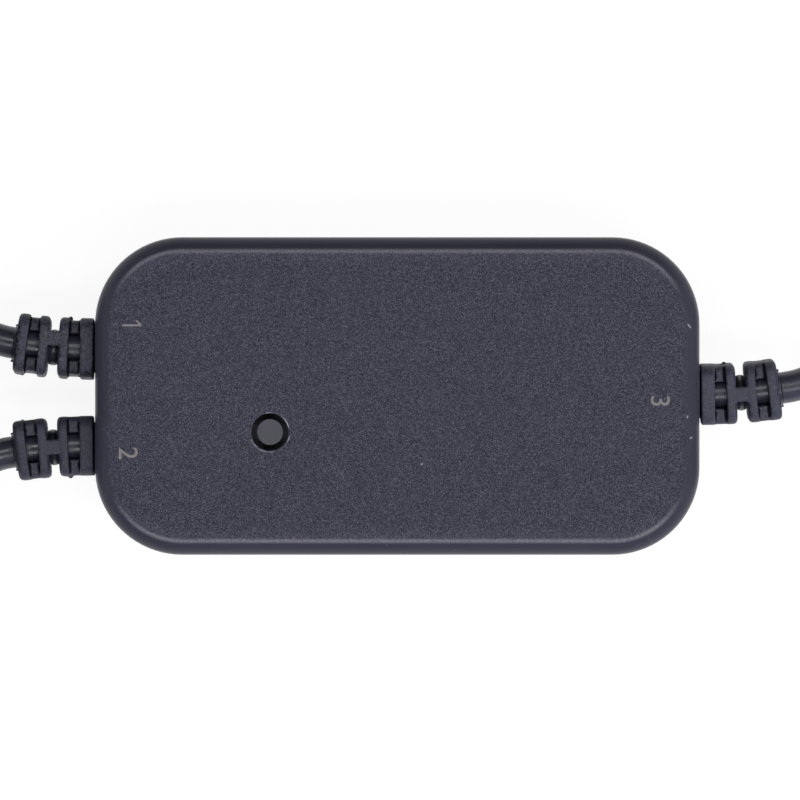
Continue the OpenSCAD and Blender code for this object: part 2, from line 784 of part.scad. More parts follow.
module bent_rod(d, turn) {
    translate([0, bend_r, 0]) rotate(-90) rotate_extrude(angle = turn, $fn = 96)
        translate([bend_r, 0]) circle(d = d);
}

// A length of relief around the lead, with its cross-section as the child
module relief_piece(start, len, roll) {
    at_bend(start + len / 2) rotate([roll, 0, 0]) rotate([90, 0, 90])
        linear_extrude(len, center = true) children();
}

module relief_walls(step) {
    difference() {
        rounded_plan(relief_w - 2 * step, relief_w - 2 * wall_drop, relief_round - wall_drop);
        square([slot_w, relief_w], center = true);
    }
}

module relief_bridge(y) {
    outer_w = relief_w - 2 * bridge_step;
    intersection() {
        rounded_plan(outer_w, outer_w, relief_round - bridge_step);
        translate([y, 0]) square([bridge_w, relief_w], center = true);
    }
}

// Prism that cuts two slanted edges off the rib at the far end
module nose_prism() {
    half = relief_w / 2;
    tip = rib_4 / 2;
    linear_extrude(relief_w + 2 * past, center = true)
        polygon([[-tip - past, -half - past], [tip - nose - past, -half - past], [tip + past, nose - half + past],
            [tip + past, half - nose - past], [tip - nose - past, half + past], [-tip - past, half + past]]);
}

// The rib at the far end, its outer edge slanted on all four sides
module far_rib(roll) {
    intersection() {
        relief_piece(rib_4_start, rib_4, roll) rounded_plan(relief_w, relief_w, relief_round);
        at_bend(rib_4_start + rib_4 / 2) rotate([roll, 0, 0]) nose_prism();
        at_bend(rib_4_start + rib_4 / 2) rotate([roll + 90, 0, 0]) nose_prism();
    }
}

module strain_relief(i) {
    roll = relief_roll[i];
    ribs = [[rib_start, rib_1], [rib_2_start, rib_2], [rib_3_start, rib_3]];
    color("#3c3d44") at_lead(i) translate([0, 0, seam_z]) difference() {
        union() {
            along_x(relief_flange_d, -wall - fit - relief_flange_t, -wall - fit);
            along_x(neck_d, -wall - fit - sink, rib_start + sink);
            for (r = ribs) relief_piece(r[0], r[1], roll) rounded_plan(relief_w, relief_w, relief_round);
            far_rib(roll);
            for (s = [slot_1, slot_3])
                relief_piece(s - sink, slot_l + 2 * sink, roll) relief_walls(side_step[i]);
            relief_piece(slot_2 - sink, middle_slot_l + 2 * sink, roll) relief_bridge(bridge_y[i]);
            bent_rod(sleeve_d, end_turn);
        }
        along_x(lead_d + 2 * bore_gap, -stub_in - past, 0);
        bent_rod(lead_d + 2 * bore_gap, end_turn + past);
    }
}

module cable_stub(i) {
    color("#2b2c31") at_lead(i) translate([0, 0, seam_z]) {
        along_x(lead_d, -stub_in, 0);
        bent_rod(lead_d, end_turn);
    }
}

module sensor_relief() strain_relief(SENSOR);
module opener_relief() strain_relief(OPENER);
module power_relief() strain_relief(POWER);
module sensor_cable() cable_stub(SENSOR);
module opener_cable() cable_stub(OPENER);
module power_cable() cable_stub(POWER);

// Free leads, their coils and the ties around them

module free_lead(i) {
    color("#2b2c31") at_lead(i) tube(lead_path(i), lead_d, lead_sides, exit_dir, clockwise(coil_start[i]));
}

module lead_coil(i) {
    color("#2b2c31") at_coil(i)
        tube(coil_path(i), lead_d, loop_sides, clockwise(coil_start[i]), clockwise(end_angle(i)));
}

module sensor_lead() free_lead(SENSOR);
module opener_lead() free_lead(OPENER);
module power_lead() free_lead(POWER);
module sensor_coil() lead_coil(SENSOR);
module opener_coil() lead_coil(OPENER);
module power_coil() lead_coil(POWER);

module power_tail() {
    color("#2b2c31") at_coil_end(POWER) tube(tail_path(), lead_d, lead_sides, [0, -1, 0], [-1, 0, 0]);
}

module tie(i, radii, top_level) {
    r_in = min(radii) - lead_d / 2 - rest_gap;
    r_out = max(radii) + lead_d / 2 + rest_gap;
    inner_h = coil_z(top_level) + lead_d / 2 + rest_gap - tie_t;
    color("#26262a") at_coil(i) translate([-(r_in + r_out) / 2, 0, tie_t + inner_h / 2]) rotate([90, 0, 0])
        linear_extrude(tie_w, center = true) difference() {
            rounded_plan(r_out - r_in + 2 * tie_t, inner_h + 2 * tie_t, tie_corner + tie_t);
            rounded_plan(r_out - r_in, inner_h, tie_corner);
        }
}

module left_tie() tie(SENSOR, concat(tied_radii(SENSOR), tied_radii(OPENER)), 3);
module right_tie() tie(POWER, tied_radii(POWER), 1);

// Free ends: two cores with bare tips on the left leads, a socket on the power lead

module core_end(i, side) {
    at_coil_end(i) tube(core_end_path(i, side, 0, core_end_l, core_rings), wire_d, lead_sides,
        core_end_dir(0), core_end_dir(core_end_l));
}

module core_tips(i) {
    tip_l = core_end_l + strip_l;
    color("tan") at_coil_end(i) for (side = [-1, 1])
        tube(core_end_path(i, side, core_end_l, tip_l, tip_rings), strand_d, lead_sides,
            core_end_dir(core_end_l), core_end_dir(tip_l));
}

module sensor_end_white() color("whitesmoke") core_end(SENSOR, 1);
module sensor_end_black() color("#1c1c1e") core_end(SENSOR, -1);
module sensor_tips() core_tips(SENSOR);
module opener_end_white() color("whitesmoke") core_end(OPENER, 1);
module opener_end_black() color("#1c1c1e") core_end(OPENER, -1);
module opener_tips() core_tips(OPENER);

module at_socket() at_coil_end(POWER) translate([socket_x, socket_y, socket_z]) rotate(180) children();

module power_socket() {
    bore_d = socket_bore_d + 2 * socket_sleeve_t;
    color("#232428") at_socket() difference() {
        union() {
            rotate([0, 90, 0])
                cylinder(d1 = lead_d + 2 * socket_tail_wall, d2 = socket_d - 2 * socket_shoulder,
                    h = socket_tail_l);
            along_x(socket_d, socket_tail_l - sink, socket_front);
        }
        along_x(bore_d, socket_front - socket_depth, socket_front + past);
    }
}

module socket_sleeve() {
    color("silver") at_socket() difference() {
        along_x(socket_bore_d + 2 * socket_sleeve_t - 2 * bore_gap, socket_front - socket_depth,
            socket_front - socket_sleeve_in);
        along_x(socket_bore_d, socket_front - socket_depth - past, socket_front + past);
    }
}

module socket_pin() {
    tip_x = socket_front - socket_pin_in - socket_pin_d / 2;
    color("silver") at_socket() {
        along_x(socket_pin_d, socket_front - socket_depth, tip_x);
        translate([tip_x, 0, 0]) sphere(d = socket_pin_d);
    }
}

top_cover();
bottom_cover();
button_cap();
switch_plunger();
switch_base();
switch_cover();
switch_dome();
switch_legs();
circuit_board();
board_screws();
radio_board();
radio_shield();
radio_chip();
radio_antenna();
relay_case();
relay_legs();
regulator_chip();
regulator_legs();
power_inductor();
inductor_terminals();
capacitor_bases();
capacitor_cans();
protection_diode();
diode_terminals();
status_led();
chip_resistors();
chip_capacitors();
sensor_wire_white();
sensor_wire_black();
opener_wire_white();
opener_wire_black();
power_wire_red();
power_wire_black();
solder_joints();
sensor_relief();
opener_relief();
power_relief();
sensor_cable();
opener_cable();
power_cable();
sensor_lead();
opener_lead();
power_lead();
sensor_coil();
opener_coil();
power_coil();
power_tail();
left_tie();
right_tie();
sensor_end_white();
sensor_end_black();
sensor_tips();
opener_end_white();
opener_end_black();
opener_tips();
power_socket();
socket_sleeve();
socket_pin();
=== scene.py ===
"""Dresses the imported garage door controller: case, button, strain reliefs, leads and board."""
import json
import math
from functools import reduce
import bmesh
import bpy
import numpy as np
from mathutils import Matrix, Vector


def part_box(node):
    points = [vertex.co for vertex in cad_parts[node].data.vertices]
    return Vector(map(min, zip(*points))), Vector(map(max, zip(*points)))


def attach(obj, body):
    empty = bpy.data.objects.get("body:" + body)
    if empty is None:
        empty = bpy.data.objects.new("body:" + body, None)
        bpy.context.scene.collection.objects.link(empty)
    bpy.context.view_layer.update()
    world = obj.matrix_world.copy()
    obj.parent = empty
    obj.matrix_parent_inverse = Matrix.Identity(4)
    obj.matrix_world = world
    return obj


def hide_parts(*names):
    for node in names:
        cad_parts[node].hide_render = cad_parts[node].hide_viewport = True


bl_info = {
    "name": "Garage Door Controller",
    "version": (1, 0, 0),
    "blender": (4, 5, 0),
    "location": "View3D > Sidebar > Controller",
    "description": "Makes the visible pieces and finishes of a garage door controller on its packed solids",
    "category": "Object",
}

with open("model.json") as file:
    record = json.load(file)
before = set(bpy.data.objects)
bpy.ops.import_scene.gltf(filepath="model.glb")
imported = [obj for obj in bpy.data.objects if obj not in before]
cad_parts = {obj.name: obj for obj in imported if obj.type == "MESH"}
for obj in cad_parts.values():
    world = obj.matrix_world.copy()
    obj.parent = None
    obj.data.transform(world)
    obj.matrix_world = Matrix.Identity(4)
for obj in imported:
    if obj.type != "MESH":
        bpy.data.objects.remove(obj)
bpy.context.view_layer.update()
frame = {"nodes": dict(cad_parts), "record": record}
nodes = frame["nodes"]
SENSOR, OPENER, POWER = range(3)
LEADS = ("sensor", "opener", "power")
UP = Vector((0, 0, 1))


# Settings that a user would change

def size_setting(name, description, default):
    return bpy.props.FloatProperty(
        name=name, description=description, default=default, unit="LENGTH", precision=5)


def sizes_setting(name, description, default):
    return bpy.props.FloatVectorProperty(
        name=name, description=description, default=default, size=len(default), unit="LENGTH", precision=5)


def number_setting(name, description, default):
    return bpy.props.FloatProperty(name=name, description=description, default=default)


def colour_setting(name, description, default):
    return bpy.props.FloatVectorProperty(
        name=name, description=description, default=default, subtype="COLOR", size=3, min=0.0, max=1.0)


class CaseSettings(bpy.types.PropertyGroup):
    """Sizes and finish of the two covers"""
    length: size_setting("Length", "Length of the case", 0.0666)
    width: size_setting("Width", "Width of the case", 0.035)
    height: size_setting("Height", "Height of the closed case", 0.014)
    corner: size_setting("Corner radius", "Radius of the corners in plan", 0.0096)
    edge_radius: size_setting("Edge radius", "Radius of the smooth band round the face", 0.0025)
    edge_width: size_setting("Edge width", "Width of that band seen from above", 0.00155)
    wall: size_setting("Wall", "Thickness of the walls and of the face", 0.002)
    lip_height: size_setting("Lip height", "Height of the recess for the locating lip", 0.00128)
    lip_inset: size_setting("Lip inset", "Distance of that recess from the outside", 0.00102)
    groove: size_setting("Seam groove", "Chamfer at the seam between the covers", 0.00012)
    grain: size_setting("Grain", "Size of the eroded grain on the face", 0.00013)
    number: size_setting("Number size", "Size of the port numbers", 0.0030)
    colour: colour_setting("Colour", "Colour of the covers", (0.040, 0.040, 0.060))
    # This colour also gives the painted highlight line along the crease on the long sides and the painted
    # highlight arcs on the rim of the button hole.
    wear_and_highlight: colour_setting("Worn colour", "Colour of worn edges and scratches", (0.115, 0.111, 0.135))
    ink: colour_setting("Print colour", "Colour of the port numbers", (0.16, 0.148, 0.150))


class ButtonSettings(bpy.types.PropertyGroup):
    """Sizes and finish of the push button"""
    place: sizes_setting("Place", "Middle of the button on the face", (-0.014, -0.00395))
    diameter: size_setting("Diameter", "Diameter of the cap", 0.0029)
    hole: size_setting("Hole", "Diameter of the hole in the face", 0.0041)
    flange: size_setting("Flange", "Diameter of the flange inside the case", 0.0054)
    colour: colour_setting("Colour", "Colour of the cap", (0.047, 0.046, 0.060))


class ReliefSettings(bpy.types.PropertyGroup):
    """Sizes and finish of the strain reliefs"""
    width: size_setting("Rib width", "Width of the ribs", 0.0066)
    rounding: size_setting("Rib rounding", "Rounding of the ribs seen along the lead", 0.0016)
    ribs: sizes_setting("Rib lengths", "Lengths of the four ribs from the case outwards",
                        (0.0015, 0.0011, 0.0011, 0.00125))
    slots: sizes_setting("Slot lengths", "Lengths of the three slots from the case outwards",
                         (0.0013, 0.0011, 0.0013))
    slot_width: size_setting("Slot width", "Width of the slots that show the sleeve", 0.0030)
    nose: size_setting("Nose", "Rounding of the ribs at the middle slot and at the outer end", 0.0005)
    steps: sizes_setting("Wall steps", "How far each relief's side walls stand back from its ribs",
                         (0.0003, 0.00005, 0.00005))
    wall_drop: size_setting("Wall drop", "How far the walls lie below the top of the ribs", 0.0007)
    bridge_width: size_setting("Bridge width", "Width of the bridge across the middle slot", 0.00155)
    bridge_step: size_setting("Bridge step", "How far the bridge stands back from the ribs", 0.00005)
    bridge_places: sizes_setting("Bridge places", "Place of the bridge across each relief",
                                 (0.0008, 0.0, 0.0))
    # Widths of the painted shadow in the crease beside two ribs of each relief
    crease_shadows: sizes_setting("Grooves", "Width of the dark groove beside two ribs of each relief",
                           (0.00025, 0.00022, 0.00034))
    # Strength of the painted shade on each relief's side walls
    wall_shade: bpy.props.FloatVectorProperty(
        name="Wall shade", description="How dark the side walls of each relief are", default=(0.65, 0.0, 0.0))
    sleeve: size_setting("Sleeve", "Diameter of the sleeve around the lead", 0.004)
    sleeve_end: size_setting("Sleeve end", "Length of the sleeve beyond the last rib", 0.0003)
    neck: size_setting("Neck", "Diameter of the neck in the wall", 0.0052)
    neck_gap: size_setting("Neck gap", "Gap between the wall and the first rib", 0.00025)
    flange: size_setting("Flange", "Diameter of the flange inside the case", 0.0074)
    bend: size_setting("Bend radius", "Radius to which a relief bends sideways", 0.062)
    softness: size_setting("Softness", "Grid on which the moulded edges are rounded", 0.00009)
    rolls: bpy.props.FloatVectorProperty(
        name="Rolls", description="Turn of each relief about its own length",
        default=(math.radians(-4), math.radians(1), math.radians(4)), subtype="EULER", unit="ROTATION")
    colour: colour_setting("Colour", "Colour of the reliefs", (0.038, 0.039, 0.062))
    sleeve_colour: colour_setting("Sleeve colour", "Colour of the sleeves", (0.027, 0.028, 0.046))


class LeadSettings(bpy.types.PropertyGroup):
    """Sizes and finish of the three leads"""
    diameter: size_setting("Diameter", "Diameter of a lead", 0.0035)
    length: size_setting("Length", "Length of each lead outside its relief", 0.5)
    sideways: sizes_setting("Sideways", "Distance of each lead from the middle of the case",
                            (0.0052, 0.0055, 0.0002))
    coil_radius: size_setting("Coil radius", "Radius of the outermost turn of a coil", 0.0215)
    turn_gap: size_setting("Turn gap", "Gap between neighbouring turns", 0.0005)
    coil_floor: size_setting("Coil floor", "Height of the lowest turn's middle", 0.00255)
    coil_distance: sizes_setting("Coil distance", "Distance of each coil's middle from the case",
                                 (0.0375, 0.0375, 0.040))
    core: size_setting("Core", "Diameter of an insulated core", 0.0013)
    core_pitch: size_setting("Core pitch", "Distance between the two cores of a lead", 0.0015)
    core_length: size_setting("Core length", "Length of the insulated cores at a free end", 0.013)
    core_bend: size_setting("Core bend", "Radius to which the free cores bend", 0.017)
    strand: size_setting("Strand bundle", "Diameter of the bare strands", 0.0008)
    strip: size_setting("Strip", "Length of the stripped strands", 0.005)
    colour: colour_setting("Colour", "Colour of the jackets", (0.028, 0.029, 0.047))


class SocketSettings(bpy.types.PropertyGroup):
    """Sizes of the barrel socket on the power lead"""
    diameter: size_setting("Diameter", "Diameter of the body", 0.010)
    length: size_setting("Length", "Length of the body", 0.020)
    tail: size_setting("Tail", "Length of the tapered tail", 0.008)
    bore: size_setting("Bore", "Diameter of the moulded hole", 0.0063)
    depth: size_setting("Depth", "Depth of that hole", 0.0095)
    colour: colour_setting("Colour", "Colour of the moulding", (0.020, 0.020, 0.023))


class StageSettings(bpy.types.PropertyGroup):
    """Camera, light and floor"""
    view_width: size_setting("View width", "Width that the camera takes in", 0.0882)
    view_height: size_setting("View height", "Height at which it takes in that width", 0.011)
    aim: sizes_setting("Aim", "Point on the face under the camera", (0.0003, -0.00044))
    lens: number_setting("Lens", "Focal length in millimetres", 400.0)
    front: number_setting("Front strip", "Power of the strip in front, overhead", 1.38)
    back: number_setting("Back strip", "Power of the strip behind, overhead", 1.27)
    window: number_setting("Window", "Power of the broad light in front", 2.5)
    left: number_setting("Left wall", "Power of the low light on the left", 4.6)
    right: number_setting("Right wall", "Power of the low light on the right", 4.1)
    fill: number_setting("Fill", "Brightness of the surroundings", 0.09)


# Helpers that build node trees

def add_node(tree, kind, inputs=None, **options):
    """Adds a node to a tree, sets its options, and fills or links its inputs by name or number."""
    made = tree.nodes.new(kind)
    for key, value in options.items():
        setattr(made, key, value)
    for key, value in (inputs or {}).items():
        if isinstance(value, bpy.types.NodeSocket):
            tree.links.new(value, made.inputs[key])
        else:
            made.inputs[key].default_value = value
    return made


def first(tree, kind, inputs=None, **options):
    """Adds a node and returns its first output."""
    return add_node(tree, kind, inputs, **options).outputs[0]


def calc(tree, operation, a, b=None, c=None, clamp=False):
    values = {k: v for k, v in enumerate((a, b, c)) if v is not None}
    return first(tree, "ShaderNodeMath", values, operation=operation, use_clamp=clamp)


def times(tree, *values):
    return reduce(lambda a, b: calc(tree, "MULTIPLY", a, b), values)


def most(tree, *values):
    return reduce(lambda a, b: calc(tree, "MAXIMUM", a, b), values)


def vector(tree, operation, a, b=None):
    values = {0: a} if b is None else {0: a, 1: b}
    made = add_node(tree, "ShaderNodeVectorMath", values, operation=operation).outputs
    return made["Value" if operation in ("DISTANCE", "LENGTH", "DOT_PRODUCT") else "Vector"]


def remap(tree, value, low, high, to_low=0.0, to_high=1.0, smooth=False):
    return first(tree, "ShaderNodeMapRange", {0: value, 1: low, 2: high, 3: to_low, 4: to_high},
                 interpolation_type="SMOOTHSTEP" if smooth else "LINEAR")


def noise(tree, where, scale, detail=0.0, rough=0.5):
    return first(tree, "ShaderNodeTexNoise",
                 {"Vector": where, "Scale": scale, "Detail": detail, "Roughness": rough})


def mix_colours(tree, factor, a, b):
    rgba = [(*c, 1.0) if isinstance(c, tuple) else c for c in (a, b)]
    return add_node(tree, "ShaderNodeMix", {0: factor, 6: rgba[0], 7: rgba[1]},
                    data_type="RGBA", clamp_factor=True).outputs[2]


def layered(tree, base, layers):
    """Lays colours over a base, each with its mask."""
    for mask, colour in layers:
        base = mix_colours(tree, mask, base, colour)
    return base


def shade(colour, factor, lift=0.0):
    return tuple(min(1.0, c * factor + lift) for c in colour)


def new_tree(name, sizes):
    """Geometry node tree with named sizes and a material; returns it with its inputs and its result."""
    tree = bpy.data.node_groups.new(name, "GeometryNodeTree")
    tree.interface.new_socket("Geometry", in_out="OUTPUT", socket_type="NodeSocketGeometry")
    tree.interface.new_socket("Geometry", in_out="INPUT", socket_type="NodeSocketGeometry")
    for label in sizes:
        tree.interface.new_socket(label, in_out="INPUT", socket_type="NodeSocketFloat")
    tree.interface.new_socket("Material", in_out="INPUT", socket_type="NodeSocketMaterial")
    return tree, tree.nodes.new("NodeGroupInput").outputs, tree.nodes.new("NodeGroupOutput").inputs[0]


def end_tree(tree, geometry, material, result):
    """Makes instances real, sets the material and hands the result out."""
    real = first(tree, "GeometryNodeRealizeInstances", {0: geometry})
    tree.links.new(first(tree, "GeometryNodeSetMaterial", {"Geometry": real, "Material": material}), result)


# Helpers that build meshes and objects

def new_piece(name, mesh, body):
    piece = bpy.data.objects.new(name, mesh)
    bpy.context.scene.collection.objects.link(piece)
    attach(piece, body)
    return piece


def solid_piece(name, bm, slot, sharp, node, body="case"):
    """Piece in its slot's finish that takes a node's place, with edges sharp from an angle in degrees."""
    piece = new_piece(name, mesh_of(name, bm, finishes[slot], math.radians(sharp)), body)
    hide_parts(node)
    return piece


def mesh_of(name, bm, material, sharp=None):
    """Turns a bmesh into a mesh with outward faces, smooth but for edges sharper than the given angle."""
    bmesh.ops.recalc_face_normals(bm, faces=bm.faces)
    for face in bm.faces:
        face.smooth = True
    if sharp is not None:
        for edge in bm.edges:
            edge.smooth = len(edge.link_faces) == 2 and edge.calc_face_angle(0.0) < sharp
    mesh = bpy.data.meshes.new(name)
    bm.to_mesh(mesh)
    bm.free()
    mesh.materials.append(material)
    return mesh


def whole_turn(count):
    return [2 * math.pi * k / count for k in range(count)]


def quarter_turn(count):
    return [math.pi / 2 * k / count for k in range(count + 1)]


def round_corners(half_x, half_y, corner, steps):
    """Points round a rectangle with round corners, each with the way that it faces."""
    for turn, (x, y) in enumerate(((1, 1), (-1, 1), (-1, -1), (1, -1))):
        for angle in quarter_turn(steps):
            c, s = math.cos(math.pi / 2 * turn + angle), math.sin(math.pi / 2 * turn + angle)
            yield x * (half_x - corner) + corner * c, y * (half_y - corner) + corner * s, c, s


def skin(bm, rings):
    """Joins closed rings of points with quads and returns the rings' vertices."""
    made = [[bm.verts.new(p) for p in ring] for ring in rings]
    for low, high in zip(made, made[1:]):
        for k in range(len(low)):
            n = (k + 1) % len(low)
            bm.faces.new((low[k], low[n], high[n], high[k]))
    return made


def capped_skin(bm, rings):
    made = skin(bm, rings)
    bm.faces.new(made[0])
    bm.faces.new(made[-1])


def ring_edges(bm, ring):
    return [bm.edges.get((a, b)) or bm.edges.new((a, b)) for a, b in zip(ring, ring[1:] + ring[:1])]


def lathe(bm, profile, place, axis=UP, sides=64):
    """Turns a profile of (radius, height) points about an axis through a place, closed at both ends."""
    turn = UP.rotation_difference(axis).to_matrix()
    capped_skin(bm, [[Vector(place) + turn @ Vector((r * math.cos(a), r * math.sin(a), h))
                      for a in whole_turn(sides)] for r, h in profile])


def round_edge(radius, height, soft, steps):
    """Profile round the outer edge of a flat end."""
    return [(radius - soft * (1 - math.cos(a)), height - soft * (1 - math.sin(a)))
            for a in quarter_turn(steps)]


def sweep(bm, path, radii, sides=16):
    """Closed tube along a path, with a radius for each point."""
    rings = []
    for k, (p, radius) in enumerate(zip(path, radii)):
        way = (path[min(k + 1, len(path) - 1)] - path[max(k - 1, 0)]).normalized()
        side = UP.cross(way).normalized()
        up = way.cross(side)
        rings.append([p + radius * (math.cos(a) * side + math.sin(a) * up) for a in whole_turn(sides)])
    capped_skin(bm, rings)


def grow(piece, tree, values):
    """Puts a tree on a piece with its inputs set."""
    modifier = piece.modifiers.new(tree.name, "NODES")
    modifier.node_group = tree
    for item in tree.interface.items_tree:
        if item.in_out == "INPUT" and item.name in values:
            modifier[item.identifier] = values[item.name]


def settle(piece, material):
    """Turns what the modifiers make into a plain mesh."""
    graph = bpy.context.evaluated_depsgraph_get()
    mesh = bpy.data.meshes.new_from_object(piece.evaluated_get(graph), depsgraph=graph)
    piece.modifiers.clear()
    piece.data = mesh
    mesh.materials.clear()
    mesh.materials.append(material)
    mesh.polygons.foreach_set("use_smooth", [True] * len(mesh.polygons))


def places_of(mesh):
    places = np.empty(len(mesh.vertices) * 3)
    mesh.vertices.foreach_get("co", places)
    return places.reshape(-1, 3)


def store(mesh, label, values, kind="FLOAT"):
    """Stores a value for each point of a mesh, in a new attribute or over an old one."""
    held = mesh.attributes.get(label) or mesh.attributes.new(label, kind, "POINT")
    values = np.ravel(values).astype(bool if kind == "BOOLEAN" else np.float32)
    held.data.foreach_set("vector" if kind == "FLOAT_VECTOR" else "value", values)


def stored(mesh, label):
    values = np.empty(len(mesh.vertices))
    mesh.attributes[label].data.foreach_get("value", values)
    return values


def measure_edges(mesh, rounds=5, reach=120, full_stand=0.08, full_depth=0.0003):
    """Stores how far each point stands out of its neighbours, and how deep it lies below its surroundings."""
    count = len(mesh.vertices)
    places, normals = places_of(mesh), np.empty(count * 3)
    mesh.vertex_normals.foreach_get("vector", normals)
    normals = normals.reshape(-1, 3)
    pairs = np.empty(len(mesh.edges) * 2, dtype=np.int64)
    mesh.edges.foreach_get("vertices", pairs)
    a, b = pairs.reshape(-1, 2).T
    links = np.bincount(np.concatenate((a, b)), minlength=count)

    def around(values):
        """Mean of a value over each point's neighbours."""
        return (np.bincount(a, values[b], count) + np.bincount(b, values[a], count)) / np.maximum(links, 1)

    def middle(points):
        return np.stack([around(points[:, k]) for k in range(3)], axis=1)

    step = np.linalg.norm(places[a] - places[b], axis=1).mean()
    stand = ((places - middle(places)) * normals).sum(axis=1) / step
    for _ in range(rounds):
        stand = (stand + around(stand)) / 2
    level = places
    for _ in range(reach):
        level = (level + middle(level)) / 2
    sunk = ((level - places) * normals).sum(axis=1)
    store(mesh, "edge", np.clip(stand / full_stand, -1.0, 1.0))
    store(mesh, "hollow", np.clip(sunk / full_depth, -1.0, 1.0))


# Shader groups shared by the finishes

def shared(name, inputs, outputs):
    """Makes a function that fills a shader group into one that puts that group, made once, into a tree."""
    def wrap(fill):
        def place(tree, where, *values):
            group = bpy.data.node_groups.get(name)
            if group is None:
                group = bpy.data.node_groups.new(name, "ShaderNodeTree")
                group.interface.new_socket("Vector", in_out="INPUT", socket_type="NodeSocketVector")
                for label in inputs:
                    group.interface.new_socket(label, in_out="INPUT", socket_type="NodeSocketFloat")
                for label in outputs:
                    group.interface.new_socket(label, in_out="OUTPUT", socket_type="NodeSocketFloat")
                given = group.nodes.new("NodeGroupInput").outputs
                made = group.nodes.new("NodeGroupOutput").inputs
                for k, value in enumerate(fill(group, *(given[k] for k in range(len(inputs) + 1)))):
                    group.links.new(value, made[k])
            put = add_node(tree, "ShaderNodeGroup", dict(enumerate((where, *values))), node_tree=group)
            return list(put.outputs) if len(outputs) > 1 else put.outputs[0]
        return place
    return wrap


@shared("Moulding grain", ["Fine scale", "Coarse scale"], ["Height", "Speck"])
def moulding_grain(group, where, fine, coarse):
    """Eroded mould surface: its height, and the small bright specks on its peaks."""
    slow = calc(group, "SUBTRACT", noise(group, where, coarse, 1.0), 0.5)
    height = calc(group, "MULTIPLY_ADD", slow, 0.12, noise(group, where, fine, 1.0))
    return height, remap(group, height, 0.6, 0.78, smooth=True)


@shared("Slow tone", ["Scale"], ["Tone"])
def slow_tone(group, where, scale):
    """Slow drift of tone over a surface, from 0 to 1."""
    return [remap(group, noise(group, where, scale, 3.0, 0.6), 0.3, 0.7)]


@shared("Handling marks", [], ["Scratch", "Dust"])
def handling_marks(group, where):
    """Hairline scratches in two directions and sparse dust, as masks."""
    hairs = []
    for angle in (0.5, 2.1):
        turned = first(group, "ShaderNodeMapping", {
            "Vector": where, "Rotation": (0.0, 0.0, angle), "Scale": (0.006, 0.00024, 0.004)},
            vector_type="TEXTURE")
        hairs.append(remap(group, noise(group, turned, 1.0), 0.8, 0.84, smooth=True))
    patch = remap(group, noise(group, where, 130.0, 1.0), 0.45, 0.6)
    cells = add_node(group, "ShaderNodeTexVoronoi", {
        "Vector": where, "Scale": 420.0, "Randomness": 1.0}).outputs
    near = remap(group, cells["Distance"], 0.035, 0.02, smooth=True)
    rare = remap(group, first(group, "ShaderNodeSeparateColor", {0: cells["Color"]}), 0.78, 0.8)
    return times(group, most(group, *hairs), patch), times(group, near, rare)


@shared("Drawn metal", [], ["Line"])
def drawn_metal(group, where):
    """Fine lines along X on rolled or drawn metal, from 0 to 1."""
    stretched = first(group, "ShaderNodeMapping", {"Vector": where, "Scale": (250.0, 6000.0, 6000.0)})
    return [remap(group, noise(group, stretched, 1.0, 2.0), 0.3, 0.7)]


@shared("Cover outline", [], ["Inset"])
def cover_outline(group, where):
    """Distance in from the outline of the case, seen from above."""
    case = bpy.context.scene.controller_case
    split = add_node(group, "ShaderNodeSeparateXYZ", {0: where}).outputs
    past = [calc(group, "SUBTRACT", calc(group, "ABSOLUTE", split[k]), side / 2 - case.corner)
            for k, side in enumerate((case.length, case.width))]
    squares = [calc(group, "POWER", calc(group, "MAXIMUM", p, 0.0), 2.0) for p in past]
    outside = calc(group, "SQRT", calc(group, "ADD", *squares))
    inside = calc(group, "MINIMUM", most(group, *past), 0.0)
    return [calc(group, "SUBTRACT", case.corner, calc(group, "ADD", outside, inside))]


# Finishes

def new_finish(name):
    """Empty material; returns it with its tree, its Principled inputs and the Object coordinates."""
    material = bpy.data.materials.new(name)
    material.use_nodes = True
    tree = material.node_tree
    where = tree.nodes.new("ShaderNodeTexCoord").outputs["Object"]
    return material, tree, tree.nodes["Principled BSDF"].inputs, where


def end_finish(tree, shader, base, rough, height, depth, strength=1.0):
    """Links colour, roughness and bump to the shader."""
    bump = first(tree, "ShaderNodeBump", {"Height": height, "Strength": strength, "Distance": depth})
    for label, value in (("Base Color", base), ("Roughness", rough), ("Normal", bump)):
        tree.links.new(value, shader[label])


